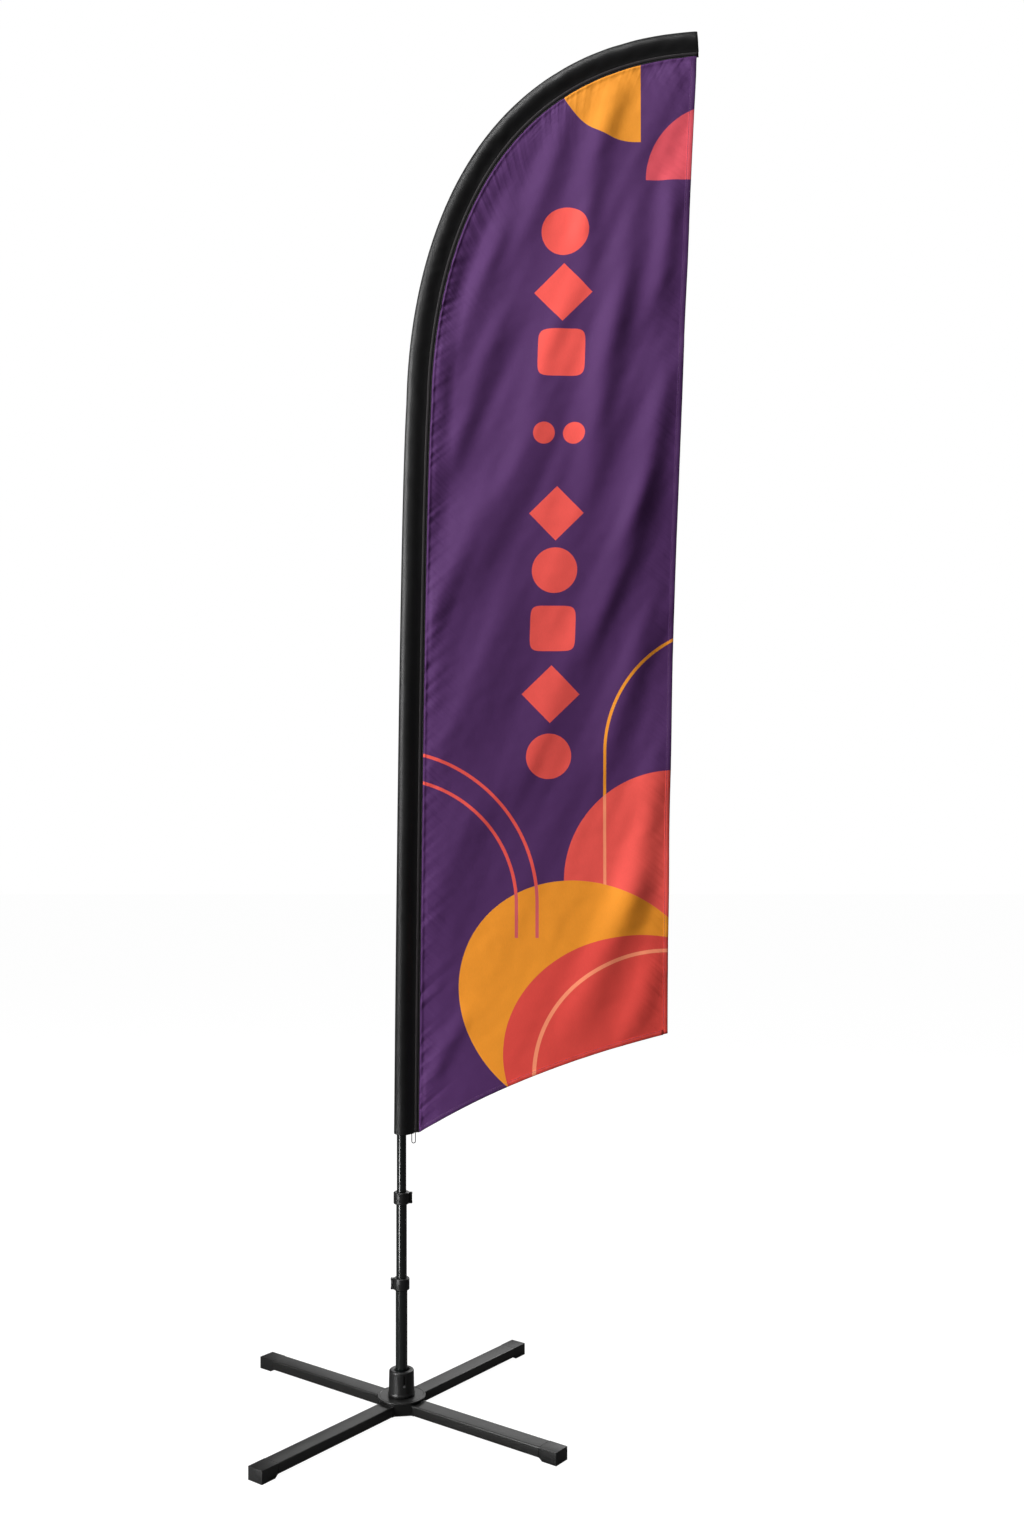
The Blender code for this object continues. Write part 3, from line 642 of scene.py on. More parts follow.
def elasticLoop():
    x, half, top, turn = loopSet["x"], loopSet["halfWide"], loopSet["top"], loopSet["turn"]
    route = [(x - half, 0, top + (turn - top) * i / 5) for i in range(5)]
    bend = [math.pi * i / 12 for i in range(13)]
    route += [(x - half * math.cos(a), 0, turn - half * math.sin(a)) for a in bend]
    route += [(x + half, 0, turn + (top - turn) * i / 5) for i in range(1, 6)]
    curve = bpy.data.curves.new("elastic_loop_cord", "CURVE")
    curve.dimensions = "3D"
    curve.bevel_depth = loopSet["radius"]
    curve.bevel_resolution = 5
    curve.use_fill_caps = True
    spline = curve.splines.new("POLY")
    spline.points.add(len(route) - 1)
    for knot, point in zip(spline.points, route):
        knot.co = (*point, 1)
    spline.use_smooth = True
    loop = newObject("elastic_loop_cord", curve)
    wear(loop, "elastic", "upper_pole", "elastic_loop")


elasticLoop()
print("cord: the elastic loop")


# pole pocket

pocketShape = {
    "width": 44 * mm,
    "girth": 0.1,
    "crown": 16 * mm,  # from the outer edge to its thickest line
    "halfLow": 14.4 * mm,  # half its thickness over the tube, and over the thin rod
    "halfHigh": 10.5 * mm,
    "flat": 0.9 * mm,  # half its thickness where it is sewn flat
    "cloth": 0.6 * mm,
    "around": 40,
    "step": 6.5 * mm,
    "hem": 12 * mm,
    "bow": 2.4 * mm,
    "tipClose": 4 * mm,
    "creases": 1.1 * mm,
}


def pocketRuns():
    runs = [0, 1 * mm, 3 * mm, 5.5 * mm, 8 * mm, 10.6 * mm, 11.8 * mm, 12.6 * mm, 14 * mm, 17 * mm, 21 * mm]
    count = round((pocketLong - 0.05) / pocketShape["step"])
    runs += [0.021 + (pocketLong - 0.05 - 0.021) * i / count for i in range(1, count + 1)]
    runs += [pocketLong - 0.05 + 0.046 * i / 12 for i in range(1, 13)]
    runs += [pocketLong - left * mm for left in (3.2, 2.4, 1.6, 0.9, 0.4, 0)]
    return runs


def pocketHalf(across, run):
    shape = pocketShape
    high = shape["halfLow"] + (shape["halfHigh"] - shape["halfLow"]) * smooth((run - 0.4) / 1.2)
    if across < shape["crown"]:
        half = high * math.sqrt(max(0.0, 1 - ((shape["crown"] - across) / shape["crown"]) ** 2))
    else:
        fall = (across - shape["crown"]) / (shape["width"] - shape["crown"])
        half = (high - shape["flat"]) * (0.5 + 0.5 * math.cos(math.pi * fall)) ** 0.85 + shape["flat"]
        half *= math.sqrt(max(0.0, 1 - max(0.0, (across / shape["width"] - 0.5) * 2) ** 14))
    left = pocketLong - run
    if left < shape["tipClose"]:
        closing = math.sqrt(max(0.0, 1 - (1 - left / shape["tipClose"]) ** 2))
        half = min(half, shape["flat"]) + max(0.0, half - shape["flat"]) * closing
    return half


def pocketPoint(turn, run):
    shape = pocketShape
    across = shape["width"] * (0.5 - 0.5 * math.cos(turn))
    side = 1 if turn < math.pi else -1
    half = pocketHalf(across, run)
    fade = min(1.0, half / (4 * mm)) * smooth((run - 0.012) / 0.03)
    curved = smooth((run - 1.5) / 0.4)
    crease = ripple(run * 26 + across * 40, side * 3.1 + across * 22) * (0.5 + 0.5 * curved)
    crease += 0.6 * ripple(run * 60 - across * 60, side * 7.7) * smooth(across / 0.03) * curved
    crease += 0.9 * ripple(run * 5.5, side * 11.3 + across * 30)
    half += crease * shape["creases"] * fade
    if run < shape["hem"]:
        half += 0.45 * mm
    point, along, inside = onPocket(run, across)
    point = point + Vector((0, -side * half, 0))
    point.z -= shape["bow"] * math.sin(turn) ** 2 * (1 - smooth(run / 0.05)) * (1 if side > 0 else 0.4)
    return point


def polePocket():
    around, runs = pocketShape["around"], pocketRuns()
    points = [pocketPoint(math.tau * j / around, run) for run in runs for j in range(around)]
    last = (len(runs) - 1) * around
    tipEnd = tuple(last + j for j in reversed(range(around)))
    pocket = meshPiece("pole_pocket", points, [*sideFaces(len(runs), around), tipEnd])
    layer = pocket.data.uv_layers.new(name="clothMap")
    girth = pocketShape["girth"]
    for face in pocket.data.polygons[:-1]:
        for loop, corner in zip(face.loop_indices, ((0, 0), (0, 1), (1, 1), (1, 0))):
            i, j = divmod(face.vertices[0], around)
            layer.data[loop].uv = ((j + corner[0]) / around * girth, runs[i + corner[1]])
    addWall(pocket, pocketShape["cloth"], -1)
    wear(pocket, "pocket_cloth", "upper_pole", "pole_sleeve")
    return pocket


pocket = polePocket()
print("sheet: pole pocket,", len(pocket.data.polygons), "faces")


# flag cloth

flagShape = {
    "from": 54.9 * mm,  # the seam, in from the pocket's outer edge
    "corner": 1.95,  # length along the pocket where the flag's side ends and its top begins
    "across": 104,
    "up": 440,
    "crowd": (0.6, 0.35),  # how much closer the grid lies at its edges, across and up
    "cloth": 0.45 * mm,
    "belly": 9 * mm,
    "streaks": 4.6 * mm,
    "slant": math.radians(66),
    "puckers": 4.6 * mm,
    "roll": 1.7 * mm,
    "freeWaves": 4 * mm,
    "freeNicks": 0.9 * mm,
    "hemNicks": 0.8 * mm,
    "creases": 0.5 * mm,
}
# long soft folds: from x, z to x, z, half width and height, in metres
foldSet = (
    (0.53, 2.64, 0.4, 2.06, 0.034, 0.012),
    (0.6, 2.7, 0.545, 2.42, 0.026, 0.008),
    (0.35, 2.85, 0.27, 2.56, 0.026, 0.0075),
    (0.47, 2.88, 0.4, 2.56, 0.028, 0.0085),
    (0.25, 2.64, 0.08, 2.29, 0.032, 0.009),
    (0.23, 2.4, 0.09, 2.08, 0.03, 0.009),
    (0.59, 2.29, 0.49, 1.93, 0.03, 0.009),
    (0.33, 2.26, 0.14, 1.82, 0.038, 0.008),
    (0.56, 2.06, 0.4, 1.69, 0.034, 0.01),
    (0.2, 2.02, 0.045, 1.7, 0.034, 0.0085),
    (0.26, 1.8, 0.07, 1.42, 0.04, 0.007),
    (0.56, 1.76, 0.43, 1.42, 0.034, 0.008),
    (0.37, 1.7, 0.23, 1.33, 0.042, 0.005),
    (0.58, 1.44, 0.48, 1.08, 0.036, 0.008),
    (0.54, 1.18, 0.38, 0.86, 0.04, 0.007),
    (0.19, 1.34, 0.06, 1.08, 0.04, 0.0045),
    (0.13, 0.86, 0.045, 0.66, 0.022, 0.005),
    (0.575, 0.99, 0.48, 0.83, 0.03, 0.005),
)


def crowded(share, amount):
    return share - amount * math.sin(math.tau * share) / math.tau


freeLine = curvePoints(lineSet["freeEdge"], 600)
hemLine = curvePoints(lineSet["hemEdge"], 600)


def pointAlong(points, share):
    spot = min(max(share, 0.0), 1.0) * (len(points) - 1)
    i = min(int(spot), len(points) - 2)
    return points[i].lerp(points[i + 1], spot - i)


seamStart, seamEnd = 2.7 * mm, pocketLong - 5.4 * mm


def seamSide(share):
    return onPocket(seamStart + share * (flagShape["corner"] - seamStart), flagShape["from"])[0]


def seamTop(share):
    return onPocket(flagShape["corner"] + share * (seamEnd - flagShape["corner"]), flagShape["from"])[0]


midSeam, topSeam, lowFree = seamSide(1), seamTop(1), pointAlong(freeLine, 0)


def flatPoint(u, v):
    # the flag's flat shape, between its seam (left and top), free edge (right) and hem (bottom)
    sides = seamSide(v) * (1 - u) + pointAlong(freeLine, v) * u
    ends = pointAlong(hemLine, u) * (1 - v) + seamTop(u) * v
    corners = (pointAlong(hemLine, 0) * (1 - u) + lowFree * u) * (1 - v)
    corners += (midSeam * (1 - u) + topSeam * u) * v
    return sides + ends - corners


seamMarks = [onPocket(seamStart + i * 0.02, flagShape["from"])[0] for i in range(int(seamEnd / 0.02))]


def seamGap(point):
    # how far the point is from the seam, and where along it
    best = min(range(len(seamMarks)), key=lambda i: (seamMarks[i] - point).length_squared)
    run = seamStart + best * 0.02
    mark, way, inside = onPocket(run, flagShape["from"])
    offset = point - mark
    return max(0.0, offset.dot(inside)), run + offset.dot(way), way


def longFolds(x, z, gap):
    # each fold is a soft ridge that fades at its ends
    height = 0.0
    for startX, startZ, endX, endZ, half, rise in foldSet:
        runX, runZ = endX - startX, endZ - startZ
        length = math.hypot(runX, runZ)
        share = ((x - startX) * runX + (z - startZ) * runZ) / length ** 2
        if -0.25 < share < 1.25:
            bent = 0.012 * math.sin(share * 3.1 + startX * 20)
            across = ((x - startX) * runZ - (z - startZ) * runX) / length + bent
            if abs(across) < 3 * half:
                fade = smooth((share + 0.25) / 0.5) * smooth((1.25 - share) / 0.5)
                height += 1.2 * rise * fade * math.exp(-((across / half) ** 2)) * smooth(gap / 0.02 + 0.2)
    return height


def seamPuckers(gap, run, way):
    # short creases that run in from the seam, in clusters, beside the seam's own low roll
    lean = run - gap * 0.9 * way.z
    cluster = 0.45 + 0.55 * smooth(ripple(run * 3.1, 5.0) + 0.55)
    reach = 0.026 + 0.026 * (1 - way.z)
    pucker = ripple(lean * 44, 2.0) + 0.5 * ripple(lean * 90, 6.0)
    height = flagShape["puckers"] * cluster * pucker * math.exp(-gap / reach) * smooth(gap / 0.006 + 0.25)
    return height + flagShape["roll"] * math.exp(-(((gap - 3 * mm) / (3 * mm)) ** 2))


def slantedStreaks(x, z):
    slant = flagShape["slant"]
    downhill = x * math.cos(slant) + z * math.sin(slant)
    sideways = x * math.sin(slant) - z * math.cos(slant)
    return ripple(sideways * 13, downhill * 2.2, 4.0) + 0.4 * ripple(sideways * 30, downhill * 5.0, 9.0)


def relief(point, u, v):
    # how far the cloth stands out towards the front
    x, z = point.x, point.z
    shape = flagShape
    gap, run, way = seamGap(point)
    free = (1 - u) * (pointAlong(freeLine, v) - seamSide(v)).length
    loose = smooth((z - 0.75) / 1.3) * 0.65 + 0.35
    belly = math.sin(2.1 * z + 3.0 * x) + 0.6 * math.sin(4.3 * z - 5.2 * x + 1.0)
    height = shape["belly"] * smooth(gap / 0.05) * belly
    height += shape["streaks"] * slantedStreaks(x, z) * smooth(gap / 0.03) * loose
    height += longFolds(x, z, gap) + seamPuckers(gap, run, way)
    height += shape["freeWaves"] * math.exp(-free / 0.10) * math.sin(z * 13 + 1.5 * math.sin(z * 5))
    height += shape["freeNicks"] * ripple(z * 45, 12.0) * math.exp(-free / 0.02)
    height += shape["hemNicks"] * ripple(u * 30, 15.0) * math.exp(-v * 2.2 / 0.02)
    return height + shape["creases"] * ripple(x * 40, z * 40, 20.0)


def clothPoint(u, v):
    flat = flatPoint(u, v)
    return flat + Vector((0, -relief(flat, u, v), 0))


def flagCloth():
    across, up = flagShape["across"], flagShape["up"]
    crowdAcross, crowdUp = flagShape["crowd"]
    spots = [(crowded(i / across, crowdAcross), crowded(j / up, crowdUp))
             for j in range(up + 1) for i in range(across + 1)]
    points = [clothPoint(u, v) for u, v in spots]
    row = across + 1
    faces = [(j * row + i, j * row + i + 1, (j + 1) * row + i + 1, (j + 1) * row + i)
             for j in range(up) for i in range(across)]
    cloth = meshPiece("flag_cloth", points, faces)
    flatArea = 0.0
    for a, b, c, d in faces:
        corners = [Vector((points[k].x, 0, points[k].z)) for k in (a, b, c, d)]
        flatArea += ((corners[2] - corners[0]).cross(corners[3] - corners[1])).length / 2
    seamMap = cloth.data.uv_layers.new(name="seamMap")
    edgeMap = cloth.data.uv_layers.new(name="edgeMap")
    spotMaps = []
    for (u, v), point in zip(spots, points):
        gap, run, way = seamGap(Vector((point.x, 0, point.z)))
        free = (1 - u) * (pointAlong(freeLine, v) - seamSide(v)).length
        spotMaps.append(((gap, run), (free, point.z)))
    for loop in cloth.data.loops:
        seamMap.data[loop.index].uv, edgeMap.data[loop.index].uv = spotMaps[loop.vertex_index]
    addWall(cloth, flagShape["cloth"], 0)
    wear(cloth, "print_cloth", "upper_pole", "flag_panel")
    return cloth, flatArea


cloth, clothArea = flagCloth()
print("sheet: flag cloth,", len(cloth.data.polygons), "faces,", round(clothArea, 3), "square metres")


# hems, seam tape and stitches

hemSet = {
    "step": 6 * mm,
    "stitches": 8.4 * mm,  # in from the edge
    # half of the turned hem's section in mm: in from the edge, and out from the cloth's middle
    "half": ((10.2, 0.2), (9.9, 0.9), (9.2, 1.1), (8.4, 0.55), (7.6, 1.15), (4.5, 1.4), (1.2, 1.3),
             (0.0, 1.0), (-0.9, 0.5)),
    "edge": (-1.1, 0.0),
}
tapeShape = {
    "start": 2 * mm,
    "short": 0.5 * mm,
    "steps": 420,
    # half of its section in mm: in from the pocket's outer edge, and out
    "half": ((44.0, 0.5), (44.8, 1.5), (47.0, 1.9), (50.2, 1.7), (51.0, 1.0), (52.2, 0.75), (54.0, 0.85),
             (55.4, 0.6)),
    "rows": ((46.2 * mm, 1.8 * mm), (53.2 * mm, 0.8 * mm)),  # stitches: in from the edge, and out
}
tapeFrom = 43 * mm  # its map counts from here
stitchSet = {"pitch": 5.2 * mm, "long": 3.6 * mm, "wide": 1.2 * mm, "high": 0.7 * mm}


def mirrored(half):
    return tuple((across, -out) for across, out in reversed(half))


def freeSpot(share, inward):
    width = (pointAlong(freeLine, share) - seamSide(share)).length
    return 1 - inward / width, share


def hemSpot(share, inward):
    tall = (seamTop(share) - pointAlong(hemLine, share)).length
    return share, inward / tall


def clothFrame(spot, share, inward):
    # the cloth's point in from an edge, the way in, and the way out of its front
    here = clothPoint(*spot(share, max(inward, 0.0)))
    inside = (clothPoint(*spot(share, max(inward, 0.0) + 3 * mm)) - here).normalized()
    step = 0.002 if share < 0.99 else -0.002
    onward = (clothPoint(*spot(share + step, max(inward, 0.0))) - here).normalized()
    if step < 0:
        onward = -onward
    out = inside.cross(onward).normalized()
    if out.y > 0:
        out = -out
    return here + inside * min(inward, 0.0), inside, onward, out


def closedStrip(name, rings):
    count = len(rings[0])
    points = [point for ring in rings for point in ring]
    ends = tuple(range(count)), tuple(range(len(points) - count, len(points)))
    return faceOutward(meshPiece(name, points, [*sideFaces(len(rings), count), *ends]))


def hemStrip(name, spot, length, start=0.0, end=1.0):
    count = round(length / hemSet["step"])
    section = (*hemSet["half"], hemSet["edge"], *mirrored(hemSet["half"]))
    rings = []
    for i in range(count + 1):
        share = start + (end - start) * i / count
        ring = []
        for inward, outward in section:
            point, inside, onward, out = clothFrame(spot, share, inward * mm)
            ring.append(point + out * (outward * mm))
        rings.append(ring)
    # the hem wears the darker copy of the print, which is painted shade
    return wear(closedStrip(name, rings), "print_cloth", "upper_pole", finish="shaded_hem_cloth")


def stitchRow(name, places, thread, slot):
    # each stitch is a small lozenge, sunk a little into the cloth
    points, faces = [], []
    for here, onward, out in places:
        side = onward.cross(out)
        first = len(points)
        points += [here - onward * (stitchSet["long"] / 2), here + onward * (stitchSet["long"] / 2),
                   here - side * (stitchSet["wide"] / 2), here + side * (stitchSet["wide"] / 2),
                   here + out * stitchSet["high"], here - out * stitchSet["high"]]
        faces += [tuple(first + k for k in face) for face in
                  ((0, 2, 4), (2, 1, 4), (1, 3, 4), (3, 0, 4), (2, 0, 5), (1, 2, 5), (3, 1, 5), (0, 3, 5))]
    return wear(faceOutward(meshPiece(name, points, faces)), slot, "upper_pole", finish=thread)


def clothStitches(name, spot, length, start, end):
    count = round(length / stitchSet["pitch"])
    places = []
    for i in range(1, count):
        share = start + (end - start) * i / count
        point, inside, onward, out = clothFrame(spot, share, hemSet["stitches"])
        raised = out * stitchSet["high"]
        places += [(point + raised, onward, out), (point - raised, onward, -out)]
    return stitchRow(name, places, "purple_thread", "print_cloth")


def seamTape():
    shape = tapeShape
    section = [(across * mm, out * mm) for across, out in (*shape["half"], *mirrored(shape["half"]))]
    runs = [shape["start"] + (pocketLong - shape["start"] - shape["short"]) * i / shape["steps"]
            for i in range(shape["steps"] + 1)]
    rings = []
    for run in runs:
        ring = []
        for across, out in section:
            point, way, inside = onPocket(run, across)
            ring.append(point + Vector((0, -out, 0)))
        rings.append(ring)
    tape = closedStrip("seam_tape_strip", rings)
    layer = tape.data.uv_layers.new(name="clothMap")
    count = len(section)
    for face in tape.data.polygons:
        for loop, corner in zip(face.loop_indices, face.vertices):
            i, j = divmod(corner, count)
            layer.data[loop].uv = (section[j][0] - tapeFrom, runs[i])
    wear(tape, "seam_tape", "upper_pole", "seam_tape")
    places = []
    for inward, raised in shape["rows"]:
        for i in range(1, round(pocketLong / stitchSet["pitch"]) - 1):
            point, way, inside = onPocket(i * stitchSet["pitch"], inward)
            for out in (Vector((0, -1, 0)), Vector((0, 1, 0))):
                places.append((point + out * raised, way, out))
    return tape, stitchRow("seam_tape_stitches", places, "grey_thread", "seam_tape")


def ringStitches(name, run, count=26):
    # one row of stitches round the pocket
    places = []
    for i in range(count):
        turn = math.tau * (i + 0.5) / count
        here = pocketPoint(turn, run)
        onward = (pocketPoint(turn + 0.03, run) - here).normalized()
        places.append((here, onward, onward.cross(onPocket(run)[1])))
    return stitchRow(name, places, "grey_thread", "pocket_cloth")


hemLong = runLengths(hemLine)[-1]
freeLong = runLengths(freeLine)[-1]
freeHem = hemStrip("free_edge_hem", freeSpot, freeLong)
bottomHem = hemStrip("bottom_hem", hemSpot, hemLong, 0.004, 0.984)
freeStitches = clothStitches("free_edge_stitches", freeSpot, freeLong, 0.006, 0.994)
bottomStitches = clothStitches("bottom_hem_stitches", hemSpot, hemLong, 0.01, 0.98)
tape, tapeStitches = seamTape()
ringStitches("pocket_mouth_stitches", 9.4 * mm)
ringStitches("pocket_tip_stitches", pocketLong - 5 * mm)
print("sewing: two hems, seam tape and five pieces of stitching")


# hard pieces, turned or cut to the CAD's sizes with their edges rounded

def turned(name, profile, sides=72):
    # a circle carried down its profile of (radius, height) in mm by extruding and resizing its loop
    selectNothing()
    radius, level = profile[0]
    bpy.ops.mesh.primitive_circle_add(vertices=sides, radius=radius * mm, location=(0, 0, 0))
    piece = bpy.context.object
    piece.name = name
    piece.data.name = name
    mode("EDIT")
    selectMesh()
    bpy.ops.transform.translate(value=(0, 0, level * mm))
    for nextRadius, nextLevel in profile[1:]:
        bpy.ops.mesh.extrude_edges_move(TRANSFORM_OT_translate={"value": (0, 0, (nextLevel - level) * mm)})
        scale = nextRadius / radius
        bpy.ops.transform.resize(value=(scale, scale, 1), center_override=(0, 0, nextLevel * mm))
        radius, level = nextRadius, nextLevel
    selectMesh("DESELECT")
    bpy.ops.mesh.select_non_manifold(extend=False, use_wire=False, use_multi_face=False,
                                     use_non_contiguous=False, use_verts=False)
    bpy.ops.mesh.bridge_edge_loops()
    selectMesh()
    bpy.ops.mesh.normals_make_consistent(inside=False)
    mode("OBJECT")
    return piece


softSet = {
    # how much its edges are rounded in mm, its finish and its body
    "hub_body": (0.7, "coated_steel", "base"),
    "hub_bottom_plate": (0.4, "coated_steel", "base"),
    "lower_clamp_collar": (0.4, "moulded_plastic", "rotator"),
    "upper_clamp_collar": (0.4, "moulded_plastic", "middle_pole"),
    "lower_clamp_lever": (0.3, "moulded_plastic", "lower_lever"),
    "upper_clamp_lever": (0.3, "moulded_plastic", "upper_lever"),
}


def softened(node, rounding, slot, body):
    # the CAD node's shape again, its triangles merged into whole faces and its edges rounded
    piece = newObject(node + "_shell", nodes[node].data.copy())
    pick(piece)
    mode("EDIT")
    selectMesh()
    bpy.ops.mesh.remove_doubles(threshold=0.01 * mm)
    bpy.ops.mesh.dissolve_limited(angle_limit=math.radians(0.5))
    mode("OBJECT")
    roundEdges(piece, rounding * mm, 2)
    wear(settle(piece), slot, body, node)


tubeShape = {"lower_pole_tube": (12.9, 1.0, "rotator"), "middle_pole_tube": (11.6, 0.9, "middle_pole"),
             "upper_pole_tube": (10.4, 1.2, "upper_pole")}


def poleTubes():
    for node, (radius, wall, body) in tubeShape.items():
        low, high = (corner.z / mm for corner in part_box(node))
        inner = radius - wall
        piece = turned(node + "_drawn", [
            (inner, high - 0.4), (inner + 0.4, high), (radius - 0.4, high), (radius, high - 0.4),
            (radius, low + 0.4), (radius - 0.4, low), (inner + 0.4, low), (inner, low + 0.4)])
        wear(settle(piece), "pole_tube", body, node)


def arcProfile(centreRadius, centreLevel, size, start, end, steps):
    # points round a quarter circle, angles from straight out (0) to straight up (90)
    turns = (math.radians(start + (end - start) * i / steps) for i in range(steps + 1))
    return [(centreRadius + size * math.cos(a), centreLevel + size * math.sin(a)) for a in turns]


tipSet = {
    "profile": ((4.7, 0), (6.2, 0), (6.5, 0.5), (6.5, 12), (5.5, 13.6), (3, 14.4), (0.5, 14.6), (0.5, 12.5),
                (4.7, 12.5)),
    "back": 16.5 * mm,
    "in": 15 * mm,
}


def rodTip():
    # the cap on the thin rod's end, inside the pocket's tip
    cap = turned("rod_tip_cap", tipSet["profile"], 32)
    place, way, inside = onPocket(pocketLong - tipSet["back"], tipSet["in"])
    cap.location = place
    cap.rotation_euler = way.to_track_quat("Z", "Y").to_euler()
    wear(settle(cap), "moulded_plastic", "upper_pole", "tip_cap")


flangeSet = {"top": 35.0, "low": 31.3, "radius": 53.0, "bore": 8.3, "edge": 1.2, "groove": 0.5}  # mm


def flangeDisc():
    top, low, radius, bore, edge, groove = flangeSet.values()
    profile = [(bore, low), (radius - edge, low), *arcProfile(radius - edge, low + edge, edge, -60, 0, 3),
               *arcProfile(radius - edge, top - edge, edge, 0, 90, 5), (radius - 3.6, top),
               (radius - 4.2, top - groove), (radius - 5.4, top - groove), (radius - 6.0, top),
               (30, top), (bore, top)]
    wear(settle(turned("flange_disc_plate", profile, 96)), "coated_steel", "base", "flange_disc")


keySet = {"turn": math.radians(17), "level": 61 * mm, "radius": 3 * mm, "top": 84 * mm, "slit": 2.2 * mm}


def keyCutter():
    out = Vector((math.sin(keySet["turn"]), -math.cos(keySet["turn"]), 0))
    selectNothing()
    bpy.ops.mesh.primitive_cylinder_add(vertices=32, radius=keySet["radius"], depth=32 * mm,
                                        location=out * 0.024 + Vector((0, 0, keySet["level"])))
    hole = bpy.context.object
    hole.rotation_euler = out.to_track_quat("Z", "Y").to_euler()
    selectNothing()
    middle = (keySet["level"] + keySet["top"]) / 2
    bpy.ops.mesh.primitive_cube_add(size=1, location=out * 0.030 + Vector((0, 0, middle)))
    slit = bpy.context.object
    slit.rotation_euler = (0, 0, keySet["turn"])
    slit.scale = (keySet["slit"], 0.020, keySet["top"] - keySet["level"])
    return hole, slit


# mm; the pole stands on its seat, the bearing and spindle fill its cavity
socketSet = {"low": 35.6, "top": 91.0, "radius": 28.0, "bore": 13.2, "seat": 53.0, "cavity": 18.3,
             "roof": 50.0}


def rotatorSocket():
    low, top, radius, bore, seat, cavity, roof = socketSet.values()
    shoulder = radius - 0.8
    outside = [(radius - 0.6, low), *arcProfile(radius + 0.3, low + 1.6, 1.2, -60, 0, 3),
               (radius + 1.5, low + 4.0), *arcProfile(radius + 0.5, low + 4.9, 1.0, 0, 50, 3),
               (radius + 0.35, low + 6.8), (radius, low + 8.4),
               *arcProfile(shoulder - 4, top - 4, 4, 0, 90, 8), (bore + 5.5, top), (bore + 4.4, top - 0.3),
               (bore + 3.5, top - 1.0), (bore + 0.6, top - 6.0), (bore, top - 7.0), (bore, seat), (1.0, seat)]
    inside = [(1.0, roof), (cavity, roof), (cavity, low)]
    socket = turned("rotator_socket_body", outside + inside, 96)
    for cutter in keyCutter():
        cutWith(socket, cutter)
    roundEdges(socket, 0.35 * mm, 2, 50)
    wear(settle(socket, 30), "moulded_plastic", "rotator", "rotator_socket")


legDirections = {"front_left": 225, "front_right": 315, "back_right": 45, "back_left": 135}
legSet = {"turn": 8, "half": 20.0, "low": 5.5, "high": 27.5, "from": 52.0, "capFrom": 386.3, "reach": 430.0}


def block(name, low, high):
    selectNothing()
    size = [(b - a) * mm for a, b in zip(low, high)]
    middle = [(a + b) / 2 * mm for a, b in zip(low, high)]
    bpy.ops.mesh.primitive_cube_add(size=1, location=middle)
    piece = bpy.context.object
    piece.name = name
    piece.data.name = name
    piece.scale = size
    bpy.ops.object.transform_apply(location=True, rotation=True, scale=True)
    return piece


def chooseFaces(piece, test):
    # in edit mode: only the faces that pass the test on centre and normal
    selectMesh("DESELECT")
    mode("OBJECT")
    for face in piece.data.polygons:
        face.select = test(face.center, face.normal)
    mode("EDIT")


def onLeg(piece, name):
    piece.rotation_euler = (0, 0, math.radians(legDirections[name] + legSet["turn"]))
    return settle(piece)


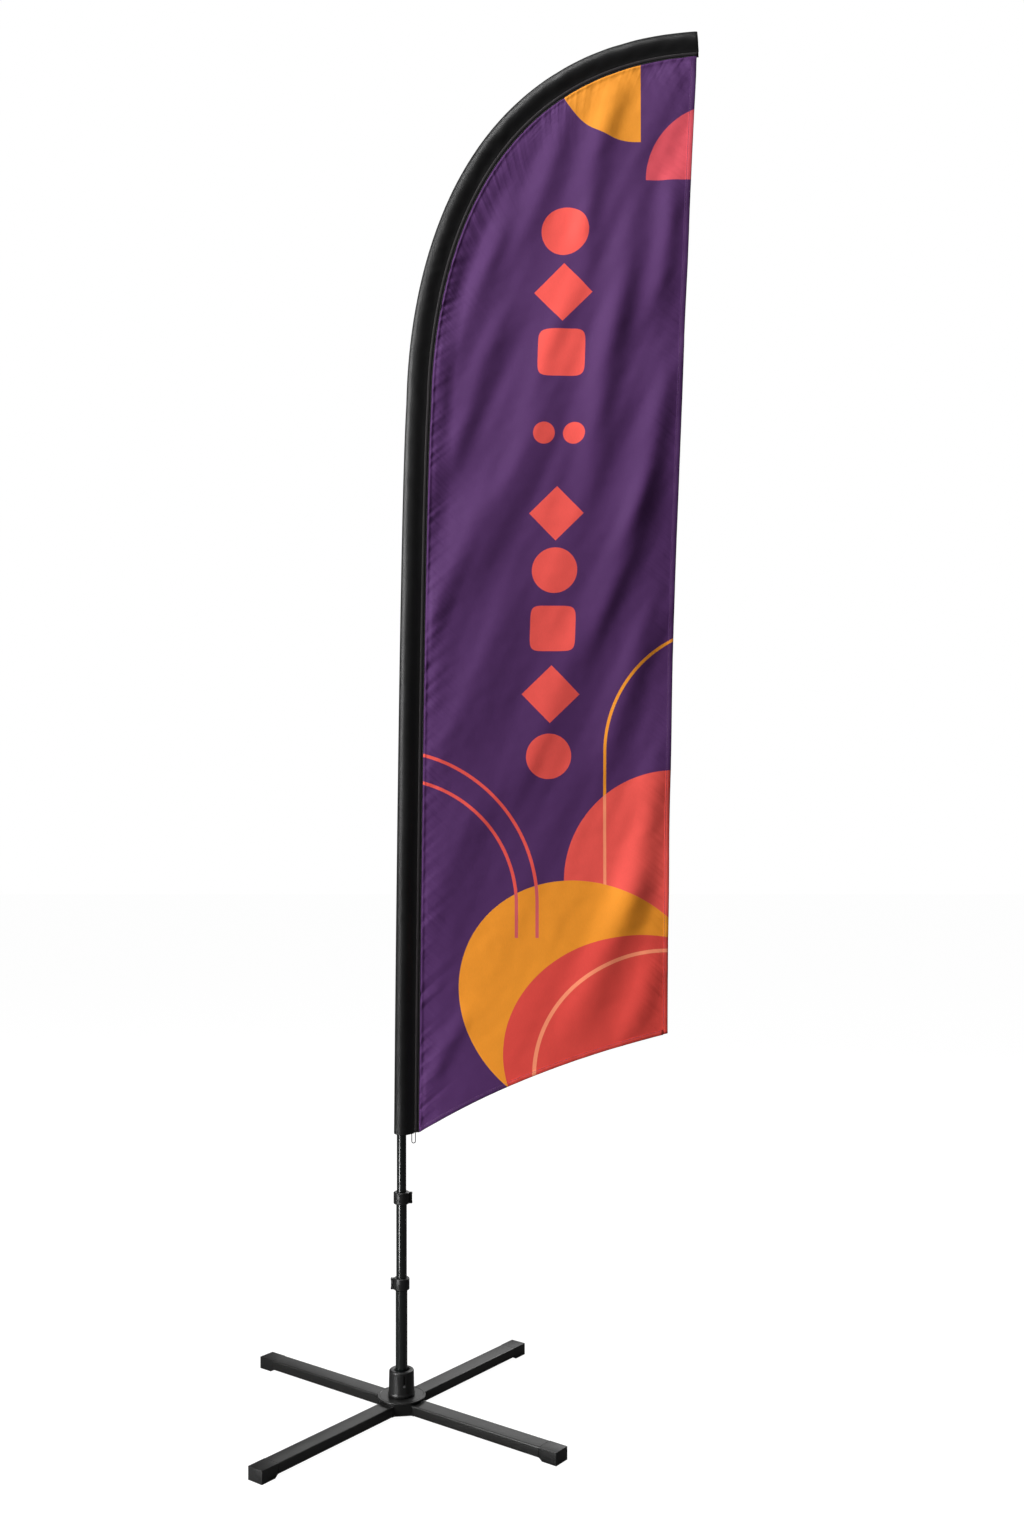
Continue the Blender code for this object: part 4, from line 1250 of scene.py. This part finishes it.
def legTube(name):
    half, low, high, end = legSet["half"], legSet["low"], legSet["high"], legSet["capFrom"] - 0.3
    tube = block("leg_tube_" + name + "_steel", (legSet["from"], -half, low), (end, half, high))
    mode("EDIT")
    bpy.ops.mesh.select_mode(type="FACE")
    chooseFaces(tube, lambda centre, normal: abs(normal.x) > 0.9)
    bpy.ops.mesh.delete(type="ONLY_FACE")
    selectMesh("DESELECT")
    mode("OBJECT")
    for edge in tube.data.edges:
        a, b = (tube.data.vertices[k].co for k in edge.vertices)
        edge.select = abs(a.x - b.x) > 0.1
    mode("EDIT")
    bpy.ops.mesh.select_mode(type="EDGE")
    bpy.ops.mesh.bevel(offset=2.6 * mm, segments=5)
    mode("OBJECT")
    addWall(tube, 2 * mm, -1)
    wear(onLeg(tube, name), "coated_steel", "leg_" + name, "leg_tube_" + name)


capSet = {"half": 19.8, "footFrom": 1.5, "slope": 6.5, "rounding": 1.7, "wall": 0.8, "hollow": 26}  # mm


def footCap(name):
    half, low, high = capSet["half"], legSet["low"], legSet["high"]
    start, reach = legSet["capFrom"], legSet["reach"]
    cap = block("foot_cap_" + name + "_moulded", (start, -half, low), (reach, half, high))
    mode("EDIT")
    bpy.ops.mesh.select_mode(type="FACE")
    selectMesh()
    bpy.ops.mesh.bisect(plane_co=((start + capSet["footFrom"]) * mm, 0, 0), plane_no=(1, 0, 0))
    chooseFaces(cap, lambda centre, normal: normal.z < -0.9 and centre.x > (start + 2) * mm)
    bpy.ops.mesh.extrude_region_move(TRANSFORM_OT_translate={"value": (0, 0, -low * mm)})
    mode("OBJECT")
    for vertex in cap.data.vertices:
        if vertex.co.z < 0.5 * mm and vertex.co.x < (start + 3) * mm:
            vertex.co.x += capSet["slope"] * mm  # the foot's inner end slopes
    roundEdges(cap, capSet["rounding"] * mm, 4, 30)
    cap.data.update()
    mode("EDIT")
    bpy.ops.mesh.select_mode(type="FACE")
    chooseFaces(cap, lambda centre, normal: normal.x < -0.99 and centre.z > low * mm)
    bpy.ops.mesh.inset(thickness=capSet["wall"] * mm)
    bpy.ops.mesh.extrude_region_move(TRANSFORM_OT_translate={"value": (-capSet["hollow"] * mm, 0, 0)})
    mode("OBJECT")
    wear(onLeg(cap, name), "moulded_plastic", "leg_" + name, "foot_cap_" + name)


poleTubes()
rodTip()
flangeDisc()
rotatorSocket()
for legName in legDirections:
    legTube(legName)
    footCap(legName)
    softened("leg_knuckle_" + legName, 0.5, "moulded_plastic", "leg_" + legName)
for node, settings in softSet.items():
    softened(node, *settings)
print("hard pieces: tubes, disc, socket, clamps, legs and hub")
